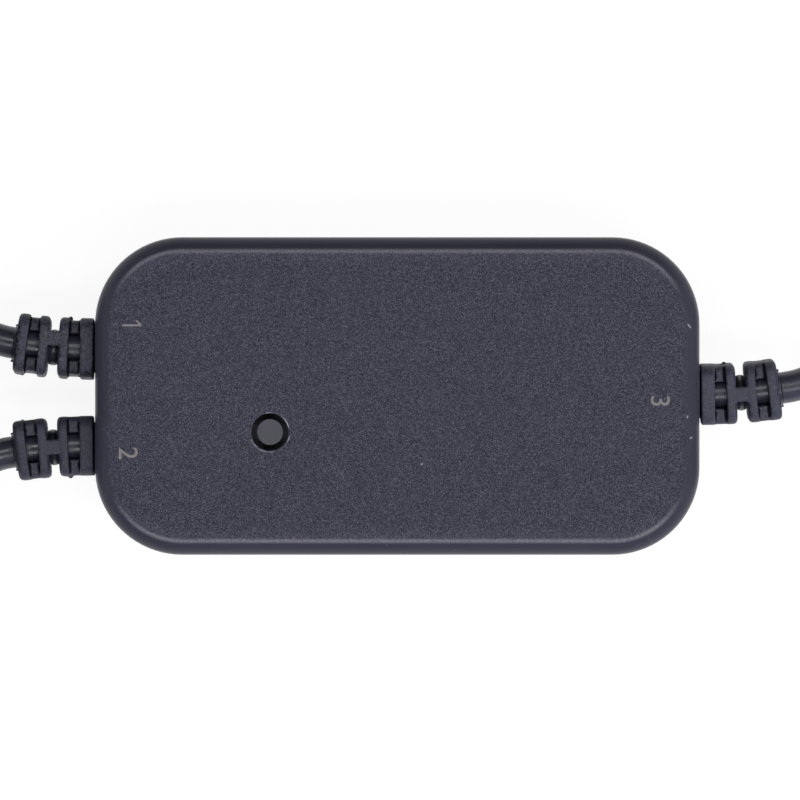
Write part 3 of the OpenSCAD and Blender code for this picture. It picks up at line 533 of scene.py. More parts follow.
def moulded_finish(name, colour, rough, grain=0.0003, depth=0.00002, tone=0.18, specular=0.4, speck=0.25,
                   edges=False):
    """Moulded plastic or rubber with grain, slow tone and a few marks; where edges are measured, painted
    highlights on convex edges and painted shade in creases and hollows.
    """
    material, tree, shader, where = new_finish(name)
    height, specks = moulding_grain(tree, where, 1 / grain, 0.3 / grain)
    base = mix_colours(tree, slow_tone(tree, where, 140.0), shade(colour, 1 - tone), shade(colour, 1 + tone))
    layers = [(times(tree, specks, speck), shade(colour, 2.2, 0.01)),
              (times(tree, most(tree, *handling_marks(tree, where)), 0.2), shade(colour, 1.6, 0.06))]
    shader["Specular IOR Level"].default_value = specular
    if edges:
        stand, sunk = (add_node(tree, "ShaderNodeAttribute", attribute_name=label).outputs["Fac"]
                       for label in ("edge", "hollow"))
        # Painted highlight on convex edges, broken up by the grain
        edge_highlight = times(tree, remap(tree, stand, 0.2, 0.9), remap(tree, height, 0.3, 0.7, 0.1, 0.5))
        layers += [(remap(tree, height, 0.5, 0.3, 0.0, speck), shade(colour, 0.3)),
                   # painted shade where the surface lies below its surroundings, on the darkened side walls
                   # and in the sleeve's middle slot
                   (remap(tree, sunk, 0.05, 1.0, 0.0, 0.75), shade(colour, 0.2)),
                   # painted shade in creases, darkest in the painted crease shadows beside the ribs
                   (remap(tree, stand, -0.08, -0.5, 0.0, 0.9), shade(colour, 0.12)),
                   (edge_highlight, shade(colour, 2.0, 0.01))]
        tree.links.new(remap(tree, stand, -0.1, -0.6, specular, 0.0), shader["Specular IOR Level"])
    end_finish(tree, shader, layered(tree, base, layers),
               remap(tree, height, 0.3, 0.7, rough - 0.08, rough + 0.08), height, depth)
    return material


def metal_finish(name, colour, rough, lines=0.12):
    """Rolled, drawn or plated metal with fine lines and slow tone."""
    material, tree, shader, where = new_finish(name)
    line = drawn_metal(tree, where)
    drift = times(tree, slow_tone(tree, where, 400.0), 0.5)
    base = mix_colours(tree, calc(tree, "MULTIPLY_ADD", line, 0.5, drift), shade(colour, 0.82), colour)
    shader["Metallic"].default_value = 1.0
    end_finish(tree, shader, base, remap(tree, line, 0.0, 1.0, rough - lines / 2, rough + lines / 2),
               line, 0.000004, 0.4)
    return material


def rim_highlight_arcs(tree, where, button):
    """Mask of the painted highlight arcs on the rim of the button hole: angle, half angle, distance out and
    strength of each arc.
    """
    middle = (*button.place, 0.0)
    flat = vector(tree, "MULTIPLY", where, (1.0, 1.0, 0.0))
    away = vector(tree, "DISTANCE", flat, middle)
    way = vector(tree, "NORMALIZE", vector(tree, "SUBTRACT", flat, middle))
    arcs = []
    for angle, half, out, strength in ((-85, 72, 0.00016, 0.7), (32, 18, 0.00007, 1.0),
                                       (95, 10, 0.00007, 0.6)):
        turn = math.radians(angle)
        off = calc(tree, "ABSOLUTE", calc(tree, "SUBTRACT", away, button.hole / 2 + out))
        near = vector(tree, "DOT_PRODUCT", way, (math.cos(turn), math.sin(turn), 0.0))
        low, high = (math.cos(math.radians(half + soft)) for soft in (4, -4))
        arcs.append(times(tree, remap(tree, off, 0.0001, 0.00002, smooth=True),
                          remap(tree, near, low, high, 0.0, strength)))
    return most(tree, *arcs)


def nicks(tree, where, height):
    """Mask of a few small dents in the face: place, direction and length of each."""
    dents = []
    for x, y, angle, length in ((0.0321, 0.0077, -0.9, 0.0004), (0.0323, -0.0046, 0.6, 0.00022),
                                (0.0319, -0.0023, 1.2, 0.0002), (0.0027, -0.0075, 0.9, 0.0002)):
        near = first(tree, "ShaderNodeMapping", {
            "Vector": where, "Location": (x, y, height), "Rotation": (0.0, 0.0, angle),
            "Scale": (length, 0.00012, 0.002)}, vector_type="TEXTURE")
        dents.append(remap(tree, vector(tree, "LENGTH", near), 1.0, 0.5, smooth=True))
    return most(tree, *dents)


def case_finish(case, button):
    """Grained face inside a smooth band, with a painted highlight line where they meet along the long sides
    and painted highlight arcs on the rim of the button hole.
    """
    material, tree, shader, where = new_finish("Cover grain")
    colour, wear_and_highlight, band = tuple(case.colour), tuple(case.wear_and_highlight), case.edge_width
    inset = cover_outline(tree, where)
    _, sideways, level = add_node(tree, "ShaderNodeSeparateXYZ", {0: where}).outputs
    upper = remap(tree, level, case.height - 0.002, case.height - 0.001)
    half = case.width / 2
    long_side = remap(tree, calc(tree, "ABSOLUTE", sideways), half - 0.0065, half - 0.003)
    grain_edge, spread = band + 0.0001, remap(tree, long_side, 0.0, 1.0, 0.0009, 0.0002)
    face_low, face_high = (calc(tree, way, grain_edge, spread) for way in ("SUBTRACT", "ADD"))
    face = remap(tree, inset, face_low, face_high, smooth=True)
    # Painted highlight: a light line where the band meets the face, on the long sides only, standing in for
    # light caught by the rounded crease.
    off = calc(tree, "ABSOLUTE", calc(tree, "SUBTRACT", inset, band + 0.00001))
    line = times(tree, remap(tree, off, 0.00036, 0.00003, smooth=True), long_side)
    # The face is lighter just inside the band along the long sides.
    shoulder = remap(tree, inset, band + 0.0018, band, smooth=True)
    height, speck = moulding_grain(tree, where, 1 / case.grain, 0.3 / case.grain)
    scratch, dust = handling_marks(tree, where)
    # breaks up the painted highlight arcs on the rim of the hole
    rim_gaps = remap(tree, slow_tone(tree, where, 900.0), 0.2, 0.6)
    smooth_band = mix_colours(tree, slow_tone(tree, where, 90.0), shade(colour, 0.73), shade(colour, 0.87))
    eroded = mix_colours(tree, remap(tree, height, 0.3, 0.7), shade(colour, 0.33), shade(colour, 1.67))
    base = layered(tree, smooth_band, [
        (face, eroded),
        (times(tree, speck, face, 0.9), wear_and_highlight),
        (times(tree, shoulder, long_side, face, 0.12), wear_and_highlight),
        # painted highlight line along the crease
        (times(tree, line, remap(tree, height, 0.3, 0.7, 0.4, 1.0)), shade(wear_and_highlight, 1.3)),
        # painted highlight arcs on the rim of the button hole, on the upper face only
        (times(tree, rim_highlight_arcs(tree, where, button), upper, rim_gaps), shade(wear_and_highlight, 2.4)),
        (most(tree, times(tree, scratch, 0.25), times(tree, dust, 0.5)), wear_and_highlight),
        (nicks(tree, where, case.height), shade(wear_and_highlight, 1.8))])
    smooth_edge = remap(tree, long_side, 0.0, 1.0, band - 0.0012, band + 0.00012)
    dull = remap(tree, inset, smooth_edge, band + 0.0004, 0.26, 0.6)
    shader["Specular IOR Level"].default_value = 0.11
    end_finish(tree, shader, base, dull, times(tree, height, remap(tree, face, 0.0, 1.0, 0.12, 1.0)), 0.00006)
    return material


def laminate_finish(name, mask, trace, across):
    """Circuit board with solder mask over raised tracks."""
    material, tree, shader, where = new_finish(name)
    drift = slow_tone(tree, where, 260.0)
    turned = first(tree, "ShaderNodeMapping", {"Vector": where, "Scale": (1 / across,) * 3})
    tracks = add_node(tree, "ShaderNodeTexBrick", {
        "Vector": turned, "Scale": 1.0, "Mortar Size": 0.09, "Mortar Smooth": 0.1, "Brick Width": 3.4,
        "Row Height": 0.8}).outputs["Fac"]
    base = mix_colours(tree, drift, shade(mask, 0.85), shade(mask, 1.15))
    base = mix_colours(tree, times(tree, tracks, 0.8), base, trace)
    end_finish(tree, shader, base, remap(tree, drift, 0.0, 1.0, 0.28, 0.4), tracks, 0.00003, 0.6)
    return material


def strap_finish(name, colour):
    """Woven strap of a reusable tie."""
    material, tree, shader, where = new_finish(name)
    weave = times(tree, *(add_node(
        tree, "ShaderNodeTexWave", {"Vector": where, "Scale": 330.0, "Distortion": 1.5, "Detail": 1.0},
        bands_direction=direction).outputs["Fac"] for direction in ("X", "Y")))
    base = mix_colours(tree, weave, shade(colour, 0.6), shade(colour, 1.7))
    base = mix_colours(tree, times(tree, slow_tone(tree, where, 300.0), 0.3), base, shade(colour, 1.3))
    shader["Specular IOR Level"].default_value = 0.2
    end_finish(tree, shader, base, remap(tree, weave, 0.0, 1.0, 0.95, 0.7), weave, 0.00012)
    return material


def can_finish(name, colour):
    """Drawn aluminium can with the dark mark of its negative side on top."""
    mark_places, half_mark, top = (0.0183, -0.0062), 0.0009, 0.01058
    material = metal_finish(name, colour, 0.34)
    tree, shader = material.node_tree, material.node_tree.nodes["Principled BSDF"].inputs
    where = tree.nodes.new("ShaderNodeTexCoord").outputs["Object"]
    x, _, z = add_node(tree, "ShaderNodeSeparateXYZ", {0: where}).outputs
    away = [calc(tree, "ABSOLUTE", calc(tree, "SUBTRACT", x, place)) for place in mark_places]
    near = [remap(tree, off, half_mark, half_mark - 0.00005) for off in away]
    mark = times(tree, most(tree, *near), remap(tree, z, top - 0.00003, top))
    plain = shader["Base Color"].links[0].from_socket
    tree.links.new(mix_colours(tree, mark, plain, (0.02, 0.02, 0.022)), shader["Base Color"])
    tree.links.new(calc(tree, "SUBTRACT", 1.0, mark), shader["Metallic"])
    return material


def make_finishes(scene):
    """One finish for each material slot of the record, one for a coarser relief and one for the sleeves."""
    case, button, relief = scene.controller_case, scene.controller_button, scene.controller_relief
    lead, socket = scene.controller_leads, scene.controller_socket
    jacket = {"grain": 0.0012, "depth": 0.000006, "speck": 0.06}
    moulded_edges = {"tone": 0.12, "edges": True}
    return {
        "case_plastic": case_finish(case, button),
        "button_plastic": moulded_finish("Button satin", tuple(button.colour), 0.5, grain=0.0004,
                                         depth=0.000004, tone=0.08, speck=0.08),
        "chip_plastic": moulded_finish("Chip black", (0.012, 0.012, 0.013), 0.62, grain=0.00012,
                                       depth=0.000004),
        "ferrite": moulded_finish("Ferrite", (0.030, 0.031, 0.034), 0.7, grain=0.0002, depth=0.00002),
        "tinned_steel": metal_finish("Tinned sheet", (0.62, 0.62, 0.60), 0.32),
        "tinned_leg": metal_finish("Tinned legs", (0.60, 0.60, 0.58), 0.38),
        "board_laminate": laminate_finish("Board mask", (0.010, 0.085, 0.038), (0.020, 0.150, 0.062), 0.0011),
        "radio_laminate": laminate_finish("Radio mask", (0.010, 0.012, 0.018), (0.026, 0.029, 0.036), 0.0007),
        "screw_steel": metal_finish("Zinc plate", (0.55, 0.55, 0.55), 0.3),
        "antenna_copper": metal_finish("Gold flash", (0.70, 0.46, 0.14), 0.28),
        "relay_plastic": moulded_finish("Relay white", (0.72, 0.72, 0.68), 0.4, grain=0.0004, depth=0.000004,
                                        tone=0.04),
        "capacitor_can": can_finish("Capacitor can", (0.72, 0.72, 0.73)),
        "led_lens": moulded_finish("Lens", (0.85, 0.82, 0.62), 0.15, grain=0.0006, depth=0.000002, tone=0.05),
        "chip_ceramic": moulded_finish("Ceramic", (0.38, 0.26, 0.13), 0.5, grain=0.0002, depth=0.000004),
        "wire_white": moulded_finish("White core", (0.74, 0.74, 0.72), 0.4, tone=0.05, **jacket),
        "wire_black": moulded_finish("Black core", (0.012, 0.012, 0.013), 0.4, **jacket),
        "wire_red": moulded_finish("Red core", (0.45, 0.018, 0.014), 0.4, tone=0.08, **jacket),
        "relief_pvc": moulded_finish("Relief grain", tuple(relief.colour), 0.55, grain=0.00018, depth=0.00004,
                                     speck=0.8, **moulded_edges),
        "relief_rough": moulded_finish("Coarse relief grain", tuple(relief.colour), 0.5, grain=0.0003,
                                       depth=0.00007, speck=1.0, **moulded_edges),
        "sleeve": moulded_finish("Sleeve satin", tuple(relief.sleeve_colour), 0.3, grain=0.0009,
                                 depth=0.000006, tone=0.1, specular=0.55, speck=0.05, edges=True),
        "lead_pvc": moulded_finish("Lead jacket", tuple(lead.colour), 0.32, specular=0.5, **jacket),
        "tie_plastic": strap_finish("Strap weave", (0.020, 0.020, 0.022)),
        "tinned_strand": metal_finish("Tinned strand", (0.66, 0.62, 0.56), 0.35),
        "socket_pvc": moulded_finish("Socket moulding", tuple(socket.colour), 0.5, depth=0.000012),
    }


# Routes of the leads, in the frame of the model

def polar(radius, angle):
    return Vector((radius * math.cos(angle), radius * math.sin(angle), 0.0))


def clockwise(angle):
    return Vector((math.sin(angle), -math.cos(angle), 0.0))


def ease(u):
    v = max(0.0, min(1.0, u))
    return v * v * (3 - 2 * v)


def path_length(path):
    return sum((b - a).length for a, b in zip(path, path[1:]))


def smooth_path(points, first_way, last_way, steps):
    """Smooth curve through points, leaving and arriving along the given directions."""
    ways = [(b - a) / 2 for a, b in zip(points, points[2:])]
    ways = [first_way * (points[1] - points[0]).length] + ways + [last_way * (points[-1] - points[-2]).length]
    path = []
    for p, q, m, n in zip(points, points[1:], ways, ways[1:]):
        for t in (k / steps for k in range(steps)):
            path.append(p * (2 * t**3 - 3 * t**2 + 1) + m * (t**3 - 2 * t**2 + t)
                        + q * (3 * t**2 - 2 * t**3) + n * (t**3 - t**2))
    return path + [points[-1]]


class LeadRoute:
    """One lead: where it leaves its relief, its free stretch, its coil and its end; points in millimetres."""
    points = (
        ((11.2, 1.2, 7), (13.6, 2.1, 6.9), (15.8, 3.4, 6.7), (17.4, 4.6, 6.6)),
        ((11.3, 1.2, 7.1), (13.8, 2.4, 7.3), (16.3, 4.4, 7.8), (18.8, 6.8, 8.5), (21.4, 9.2, 9.3),
         (24, 11.6, 10.1)),
        ((11.4, 1.15, 6.7), (13.9, 2.25, 6), (16.2, 4.1, 5), (18.2, 6.7, 3.75), (20.2, 9.7, 3),
         (22.4, 12.7, 2.65)),
    )
    tail_points = ((21, -6.6, 7.6), (19.2, -10, 9.4), (16.2, -12.8, 11.3), (12.4, -14.3, 12.8))
    socket_place = (8.4, -14.6, 13.6)
    starts = (140, 110, 125)
    levels = ((1, 0), (2, 3), (0, 1))

    def __init__(self, which):
        scene = bpy.context.scene
        case, relief, lead = scene.controller_case, scene.controller_relief, scene.controller_leads
        self.which, self.lead, self.case = which, lead, case
        self.radius, self.diameter = lead.coil_radius, lead.diameter
        self.pitch = lead.diameter + lead.turn_gap
        self.sideways = lead.sideways[which]
        self.middle = Vector((lead.coil_distance[which], -self.sideways, 0.0))
        self.start = math.radians(self.starts[which])
        self.first_height, self.last_height = (self.height(level) for level in self.levels[which])
        self.bend = relief.bend
        self.reach = relief.neck_gap + sum(relief.ribs) + sum(relief.slots) + relief.sleeve_end
        turn = self.reach / relief.bend
        self.exit = Vector((relief.bend * math.sin(turn), relief.bend * (1 - math.cos(turn)),
                            case.height / 2))
        self.exit_way = Vector((math.cos(turn), math.sin(turn), 0.0))
        entry = self.middle + polar(self.radius, self.start) + self.first_height * UP
        entry -= self.diameter * clockwise(self.start)
        self.stops = [self.exit] + [Vector(p) / 1000 for p in self.points[which]] + [entry]
        self.tail_stops = [Vector((self.radius, -self.diameter, self.last_height))]
        tail = 0.0
        if which == POWER:
            self.tail_stops += [Vector(p) / 1000 for p in (*self.tail_points, self.socket_place)]
            tail = path_length(self.tail_stops)
        wound = lead.length - path_length(self.stops) - 2 * self.diameter - tail
        inmost = math.sqrt(self.radius**2 - self.pitch * wound / (2 * math.pi))
        self.turns = (self.radius - inmost) * 2 / self.pitch
        self.end = self.start - 2 * math.pi * self.turns

    def height(self, level):
        return self.lead.coil_floor + level * self.pitch

    def coil_point(self, t):
        """Point after a number of turns: in along one layer, and out again along the next."""
        half = self.turns / 2
        low, high = self.levels[self.which]
        level = low + (high - low) * ease((t - half) * 2 + 0.5)
        radius = self.radius - self.pitch * (half - abs(t - half))
        return self.middle + polar(radius, self.start - 2 * math.pi * t) + self.height(level) * UP

    def world(self, p):
        """From the lead's own frame, out from the wall, to the model's frame."""
        out, across = self.case.length / 2 + p[0], self.sideways + p[1]
        if self.which == POWER:
            return Vector((out, across, p[2]))
        return Vector((-out, -across if self.which == OPENER else across, p[2]))

    def bent(self, s, side=0.0, up=0.0):
        """Point of a relief at a distance along its bend, in the model's frame; straight inside the wall."""
        turn, arm = s / self.bend, self.bend - side
        x, y = (arm * math.sin(turn), self.bend - arm * math.cos(turn)) if s > 0 else (s, side)
        return self.world((x, y, self.case.height / 2 + up))

    def from_end(self, p):
        """From the frame of the coil's end to the model's frame."""
        return self.world(self.middle + Matrix.Rotation(self.end, 3, "Z") @ Vector(p))

    def way_from_end(self, way):
        return (self.from_end(way) - self.from_end((0, 0, 0))).normalized()

    def line(self, per_turn=64):
        """Points along the whole lead."""
        path = smooth_path(self.stops, self.exit_way, clockwise(self.start), 5)
        count = round(self.turns * per_turn)
        path += [self.coil_point(self.turns * k / count) for k in range(count + 1)]
        tail = self.tail_stops
        if self.which == POWER:
            tail = smooth_path(tail, Vector((0, -1, 0)), Vector((-1, 0, 0)), 6)
        return [self.world(p) for p in path] + [self.from_end(p) for p in tail]

    def core_point(self, side, along):
        """Point on a free core, which goes on round from the coil's end and settles on what is under it."""
        lead, top = self.lead, self.last_height
        bend = lead.core_bend + side * lead.core_pitch / 2
        angle = along / lead.core_bend
        rest = lead.core / 2 + 0.0001 if self.which == SENSOR else top - (self.diameter - lead.core) / 2
        return self.from_end((self.radius - lead.core_bend + bend * math.cos(angle),
                              -self.diameter - bend * math.sin(angle),
                              top + (rest - top) * ease(along / lead.core_length)))


# Operators, one for each piece or group of like pieces

class CONTROLLER_OT_stage(bpy.types.Operator):
    """Floor, light and camera"""
    bl_idname = "controller.stage"
    bl_label = "Stage"

    def execute(self, context):
        stage = context.scene.controller_stage
        context.scene.view_settings.view_transform = "Standard"
        self.floor()
        self.world(context.scene, stage)
        strip, low_wall, aside = (0.7, 0.08), (0.8, 0.3), (0.16, 0.0, 0.0)
        self.lamp("Front strip", (0.16, -0.21, 0.56), strip, stage.front, aim=aside)
        self.lamp("Back strip", (0.16, 0.19, 0.58), strip, stage.back, aim=aside)
        self.lamp("Window", (0.20, -0.46, 0.30), (0.6, 0.3), stage.window, mirrored=False)
        self.lamp("Left wall", (-0.70, 0.0, 0.16), low_wall, stage.left, mirrored=False)
        self.lamp("Right wall", (0.70, 0.0, 0.16), low_wall, stage.right, mirrored=False)
        camera = bpy.data.objects.new("Camera", bpy.data.cameras.new("Camera"))
        context.scene.collection.objects.link(camera)
        camera.data.lens = stage.lens
        camera.data.sensor_width = 36.0
        away = stage.view_width * stage.lens / camera.data.sensor_width
        camera.location = (*stage.aim, stage.view_height + away)
        camera.data.clip_start, camera.data.clip_end = 0.01, 20.0
        context.scene.camera = camera
        return {"FINISHED"}

    def floor(self):
        material, tree, shader, where = new_finish("Floor")
        dark, light, level = (0.14, 0.14, 0.14), (0.155, 0.155, 0.155), -0.00012
        tree.links.new(mix_colours(tree, slow_tone(tree, where, 6.0), dark, light), shader["Base Color"])
        shader["Roughness"].default_value = 0.9
        shader["Specular IOR Level"].default_value = 0.0
        shader["Emission Color"].default_value = (1.0, 1.0, 1.0, 1.0)
        path = tree.nodes.new("ShaderNodeLightPath").outputs
        seen = most(tree, path["Is Camera Ray"], path["Is Glossy Ray"], path["Is Transmission Ray"])
        tree.links.new(times(tree, seen, 0.9), shader["Emission Strength"])
        bm = bmesh.new()
        bmesh.ops.create_grid(bm, x_segments=1, y_segments=1, size=4.0)
        bmesh.ops.translate(bm, verts=bm.verts, vec=(0, 0, level))
        floor = bpy.data.objects.new("Floor", mesh_of("Floor", bm, material))
        bpy.context.scene.collection.objects.link(floor)

    def world(self, scene, stage):
        scene.world = bpy.data.worlds.new("Studio")
        scene.world.use_nodes = True
        back = scene.world.node_tree.nodes["Background"].inputs
        back["Color"].default_value = (1.0, 1.0, 1.0, 1.0)
        back["Strength"].default_value = stage.fill

    def lamp(self, name, place, size, power, aim=(0.0, 0.0, 0.0), mirrored=True):
        light = bpy.data.lights.new(name, "AREA")
        light.shape, light.energy = "RECTANGLE", power
        light.size, light.size_y = size
        lamp = bpy.data.objects.new(name, light)
        lamp.location = place
        lamp.rotation_euler = (Vector(aim) - Vector(place)).to_track_quat("-Z", "Y").to_euler()
        lamp.visible_camera, lamp.visible_glossy = False, mirrored
        bpy.context.scene.collection.objects.link(lamp)


class CONTROLLER_OT_finishes(bpy.types.Operator):
    """Finishes of all the solids that stay as they are"""
    bl_idname = "controller.finishes"
    bl_label = "Finishes"

    def execute(self, context):
        finishes.update(make_finishes(context.scene))
        for part in frame["record"]["subparts"]:
            mesh = nodes[part["node"]].data
            mesh.materials.clear()
            mesh.materials.append(finishes[part["material_slot"]])
        return {"FINISHED"}


class CONTROLLER_OT_case(bpy.types.Operator):
    """Top cover with its smooth band and button hole, bottom cover, port numbers"""
    bl_idname = "controller.case"
    bl_label = "Case"

    def execute(self, context):
        case, button = context.scene.controller_case, context.scene.controller_button
        solid_piece("cover_shell", self.top_shape(case, button), "case_plastic", 24, "top_cover")
        bm = bmesh.new()
        bm.from_mesh(nodes["bottom_cover"].data)
        bmesh.ops.remove_doubles(bm, verts=bm.verts, dist=1e-6)
        solid_piece("cover_base", bm, "case_plastic", 20, "bottom_cover")
        ink = moulded_finish("Port print", tuple(case.ink), 0.6, grain=case.grain, tone=0.12, speck=0.3)
        print_level = case.height + 0.000012
        for text, x, y in (("1", -0.0292, 0.0078), ("2", -0.0297, -0.0063), ("3", 0.0288, -0.00055)):
            self.number(text, (x, y, print_level), case.number, ink)
        return {"FINISHED"}

    def loop(self, case, inset, z):
        return [(x, y, z) for x, y, *_ in round_corners(
            case.length / 2 - inset, case.width / 2 - inset, case.corner - inset, 20)]

    def hole_ring(self, button, radius, z):
        x, y = button.place
        return [(x + radius * math.cos(a), y + radius * math.sin(a), z) for a in whole_turn(72)]

    def top_shape(self, case, button):
        radius, soft, rim = case.edge_radius, 0.00022, 0.00014
        seam, roof = case.height / 2, case.height - case.wall
        end = math.acos(1 - case.edge_width / radius)
        centre = case.height - radius * math.sin(end)
        outer = [(case.lip_inset, seam), (case.groove, seam), (0.0, seam + case.groove), (0.0, centre)]
        stop = end - soft / radius
        for angle in (stop * k / 16 for k in range(1, 17)):
            outer.append((radius * (1 - math.cos(angle)), centre + radius * math.sin(angle)))
        last, bend = outer[-1], (case.edge_width, case.height)
        face = (case.edge_width + soft, case.height)
        for t in (k / 8 for k in range(1, 8)):
            outer.append(tuple((1 - t)**2 * p + 2 * t * (1 - t) * q + t * t * r
                               for p, q, r in zip(last, bend, face)))
        outer.append(face)
        lip = seam + case.lip_height
        inner = [(case.lip_inset, seam), (case.lip_inset, lip), (case.wall, lip), (case.wall, roof)]
        bore = [(button.hole / 2 + rim * (1 - math.sin(a)), case.height - rim * (1 - math.cos(a)))
                for a in quarter_turn(6)] + [(button.hole / 2, roof)]
        bm = bmesh.new()
        shell = skin(bm, [self.loop(case, *p) for p in outer])
        lining = skin(bm, [self.loop(case, *p) for p in inner])
        hole = skin(bm, [self.hole_ring(button, *p) for p in bore])
        for edge, ring in ((shell[-1], hole[0]), (lining[-1], hole[-1])):
            bmesh.ops.triangle_fill(bm, use_beauty=True, edges=ring_edges(bm, edge) + ring_edges(bm, ring))
        bmesh.ops.remove_doubles(bm, verts=bm.verts, dist=1e-7)
        return bm

    def number(self, text, place, size, ink):
        """Printed number, read from the right; the one has a flag and no foot."""
        if text == "1":
            mesh = bpy.data.meshes.new("number")
            flagged = ((-0.03, -0.34), (0.05, -0.34), (0.05, 0.36), (-0.02, 0.36),
                       (-0.17, 0.22), (-0.17, 0.13), (-0.03, 0.25))
            mesh.from_pydata([(x * size, y * size, 0.0) for x, y in flagged], [],
                             [(0, 1, 2, 3, 6), (3, 4, 5, 6)])
        else:
            curve = bpy.data.curves.new("number", "FONT")
            curve.body, curve.size = text, size
            curve.align_x, curve.align_y = "CENTER", "CENTER"
            holder = bpy.data.objects.new("number", curve)
            bpy.context.scene.collection.objects.link(holder)
            graph = bpy.context.evaluated_depsgraph_get()
            mesh = bpy.data.meshes.new_from_object(holder.evaluated_get(graph), depsgraph=graph)
            bpy.data.objects.remove(holder)
        mesh.transform(Matrix.Translation(place) @ Matrix.Rotation(-math.pi / 2, 4, "Z"))
        mesh.materials.clear()
        mesh.materials.append(ink)
        new_piece(f"port_number_{text}", mesh, "case")


class CONTROLLER_OT_button(bpy.types.Operator):
    """Push button with a softened rim"""
    bl_idname = "controller.button"
    bl_label = "Button"

    def execute(self, context):
        button = context.scene.controller_button
        (_, _, low), (_, _, high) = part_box("button_cap")
        radius, flange, soft = button.diameter / 2, button.flange / 2, 0.00012
        hollow, hollow_depth, shelf, dish = 0.00173, 0.00057, low + 0.00157, 0.00001
        profile = [(hollow, low + hollow_depth), (hollow, low), (flange, low), (flange, shelf)]
        profile += [(radius, shelf)] + round_edge(radius, high, soft, 6)
        profile += [(radius * 0.6, high - dish), (radius * 0.25, high - 2 * dish)]
        bm = bmesh.new()
        lathe(bm, profile, (*button.place, 0.0))
        solid_piece("button_top", bm, "button_plastic", 40, "button_cap", "button")
        return {"FINISHED"}


